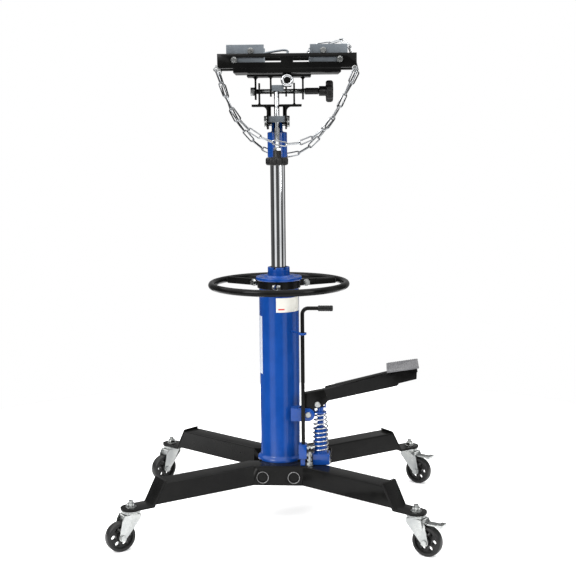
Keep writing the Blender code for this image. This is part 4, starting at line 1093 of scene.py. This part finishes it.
SCREW_STEEL = finish_material(
    "drawn_screw_steel",
    (0.48, 0.49, 0.50), (0.36, 0.37, 0.38), (0.14, 0.24), metal=1.0, grain=1500.0,
    depth=0.00001, lines=True,
)
bm = bmesh.new()
threaded(bm, on_head(0.0, SCREW_Y, 0.8735), (0, 0, 1), 0.0190, 0.0060)
bar(bm, on_head(0.0, SCREW_Y, 0.8920), on_head(0.0, SCREW_Y, 1.0330), 0.0060, 48, 0.0008)
shape("pitch_thread", bm, SCREW_STEEL, "pitch_drive", ["pitch_screw"], smooth=60.0)
star_knob("pitch_star_knob", HEAD @ Matrix.Translation((0.0, SCREW_Y, 0.8540)), 0.0095, 0.0155, 0.0270, 0.0180,
          "pitch_drive", "pitch_knob")
bm = bmesh.new()
bolt(bm, on_head(0.0, SCREW_Y, 0.8876), (0, 0, 1), 0.0160, 0.0060)
shape("pitch_lock_nut", bm, ZINC, "pitch_drive", smooth=30.0)

bm = bmesh.new()
threaded(bm, on_head(-0.0600, 0.0, SIDE_SCREW_Z), head_way(1, 0, 0), 0.1740, 0.0060)
shape("side_thread", bm, ZINC, "side_drive", ["side_screw"], smooth=60.0)
bm = bmesh.new()
bolt(bm, on_head(-0.0515, 0.0, SIDE_SCREW_Z), head_way(-1, 0, 0), 0.0165, 0.0080, washer=0.0100)
bolt(bm, on_head(0.0655, 0.0, SIDE_SCREW_Z), head_way(-1, 0, 0), 0.0120, 0.0020)
shape("side_screw_nuts", bm, ZINC, "side_drive", smooth=30.0)
bm = bmesh.new()
bar(bm, on_head(0.0660, 0.0, SIDE_SCREW_Z), on_head(0.0980, 0.0, SIDE_SCREW_Z), 0.0078, 32, 0.0010)
shape("side_screw_sleeve", bm, NYLON, "side_drive")
star_knob(
    "side_star_knob",
    HEAD @ Matrix.Translation((0.1310, 0.0, SIDE_SCREW_Z)) @ Matrix.Rotation(math.radians(-90.0), 4, "Y"),
    0.0115, 0.0160, 0.0260, 0.0165, "side_drive", "side_knob",
)

# ---- Saddle: plate, slotted rails and corner brackets ----------------------------------------------
# Flat black plate between two slotted angle rails; dull zinc brackets bolted in the slots
# set the width that the load needs.

carried("saddle_plate", BLACK_COAT, "saddle", 0.0008)
for word, side in (("front", -1), ("rear", 1)):
    carried(word + "_saddle_rail", BLACK_COAT, "saddle", 0.0006)
    bm = bmesh.new()
    for x in (-0.0130, 0.0130):
        bolt(bm, on_head(ROLL_X + x, side * 0.056, 1.0783), (0, 0, 1), 0.0100, 0.0040, washer=0.0070)
    shape(word + "_rail_bolts", bm, ZINC, "saddle", smooth=30.0)
    for hand, hand_word in ((-1, "left"), (1, "right")):
        name = f"{word}_{hand_word}_bracket"
        carried(name, DARK_ZINC, name + "_body", 0.0006)
        bm = bmesh.new()
        slot_x = ROLL_X + hand * 0.1195
        outward = head_way(0, side, 0)
        bolt(bm, on_head(slot_x, side * 0.0781, 1.0918), outward, 0.0100, 0.0048, washer=0.0070)
        bolt(bm, on_head(slot_x, side * 0.0696, 1.0918), -outward, 0.0100, 0.0050, washer=0.0075,
             nut=True, shank=0.004)
        bolt(bm, on_head(ROLL_X + hand * 0.0820, side * 0.0738, 1.112), outward, 0.0110, 0.0052,
             washer=0.0072)
        shape(name + "_bolts", bm, ZINC, name + "_body", smooth=30.0)

bm = bmesh.new()
hook = smooth_route([on_head(x, y, z) for x, y, z in (
    (-0.0420, 0.0665, 1.1130), (-0.0250, 0.0655, 1.1150), (0.0000, 0.0650, 1.1190), (0.0180, 0.0650, 1.1210),
    (0.0270, 0.0645, 1.1180), (0.0240, 0.0640, 1.1120),
)], 24)[0]
sweep(bm, hook, 0.0026, 12)
bolt(bm, on_head(-0.0400, 0.0695, 1.1130), head_way(0, -1, 0), 0.0100, 0.0045, washer=0.0070)
shape("chain_hook", bm, DARK_ZINC, "rear_left_bracket_body", smooth=50.0)

# The rear chain's last links lie over the rear bracket; eye bolts hold all four ends.
tail_route, _ = smooth_route([on_head(x, y, z) for x, y, z in (
    (0.1920, 0.0850, 1.0700), (0.1860, 0.0850, 1.0950), (0.1760, 0.0830, 1.1200), (0.1650, 0.0780, 1.1440),
    (0.1420, 0.0700, 1.1400), (0.1140, 0.0680, 1.1330), (0.0850, 0.0650, 1.1300), (0.0760, 0.0560, 1.1120),
    (0.0880, 0.0480, 1.0900),
)], 7)
bm = bmesh.new()
add_links(bm, tail_route, (95.0, 20.0))
shape("rear_chain_tail", bm, CHAIN_STEEL, "saddle")
for name, x, y in (("front_left", -0.1360, -0.0800), ("front_right", 0.1770, -0.0800),
                   ("rear_left", -0.1370, 0.0800), ("rear_right", 0.1900, 0.0800)):
    bm = bmesh.new()
    eye = circle_path(HEAD @ Matrix.Translation((x, y, 1.0715)) @ UPRIGHT, 0.0048, 24)
    sweep(bm, eye, 0.0014, 10, closed=True)
    bar(bm, on_head(x, y, 1.0760), on_head(x, y - math.copysign(0.0060, y), 1.0800), 0.0018, 16)
    shape(name + "_chain_eye", bm, ZINC, "saddle", smooth=50.0)
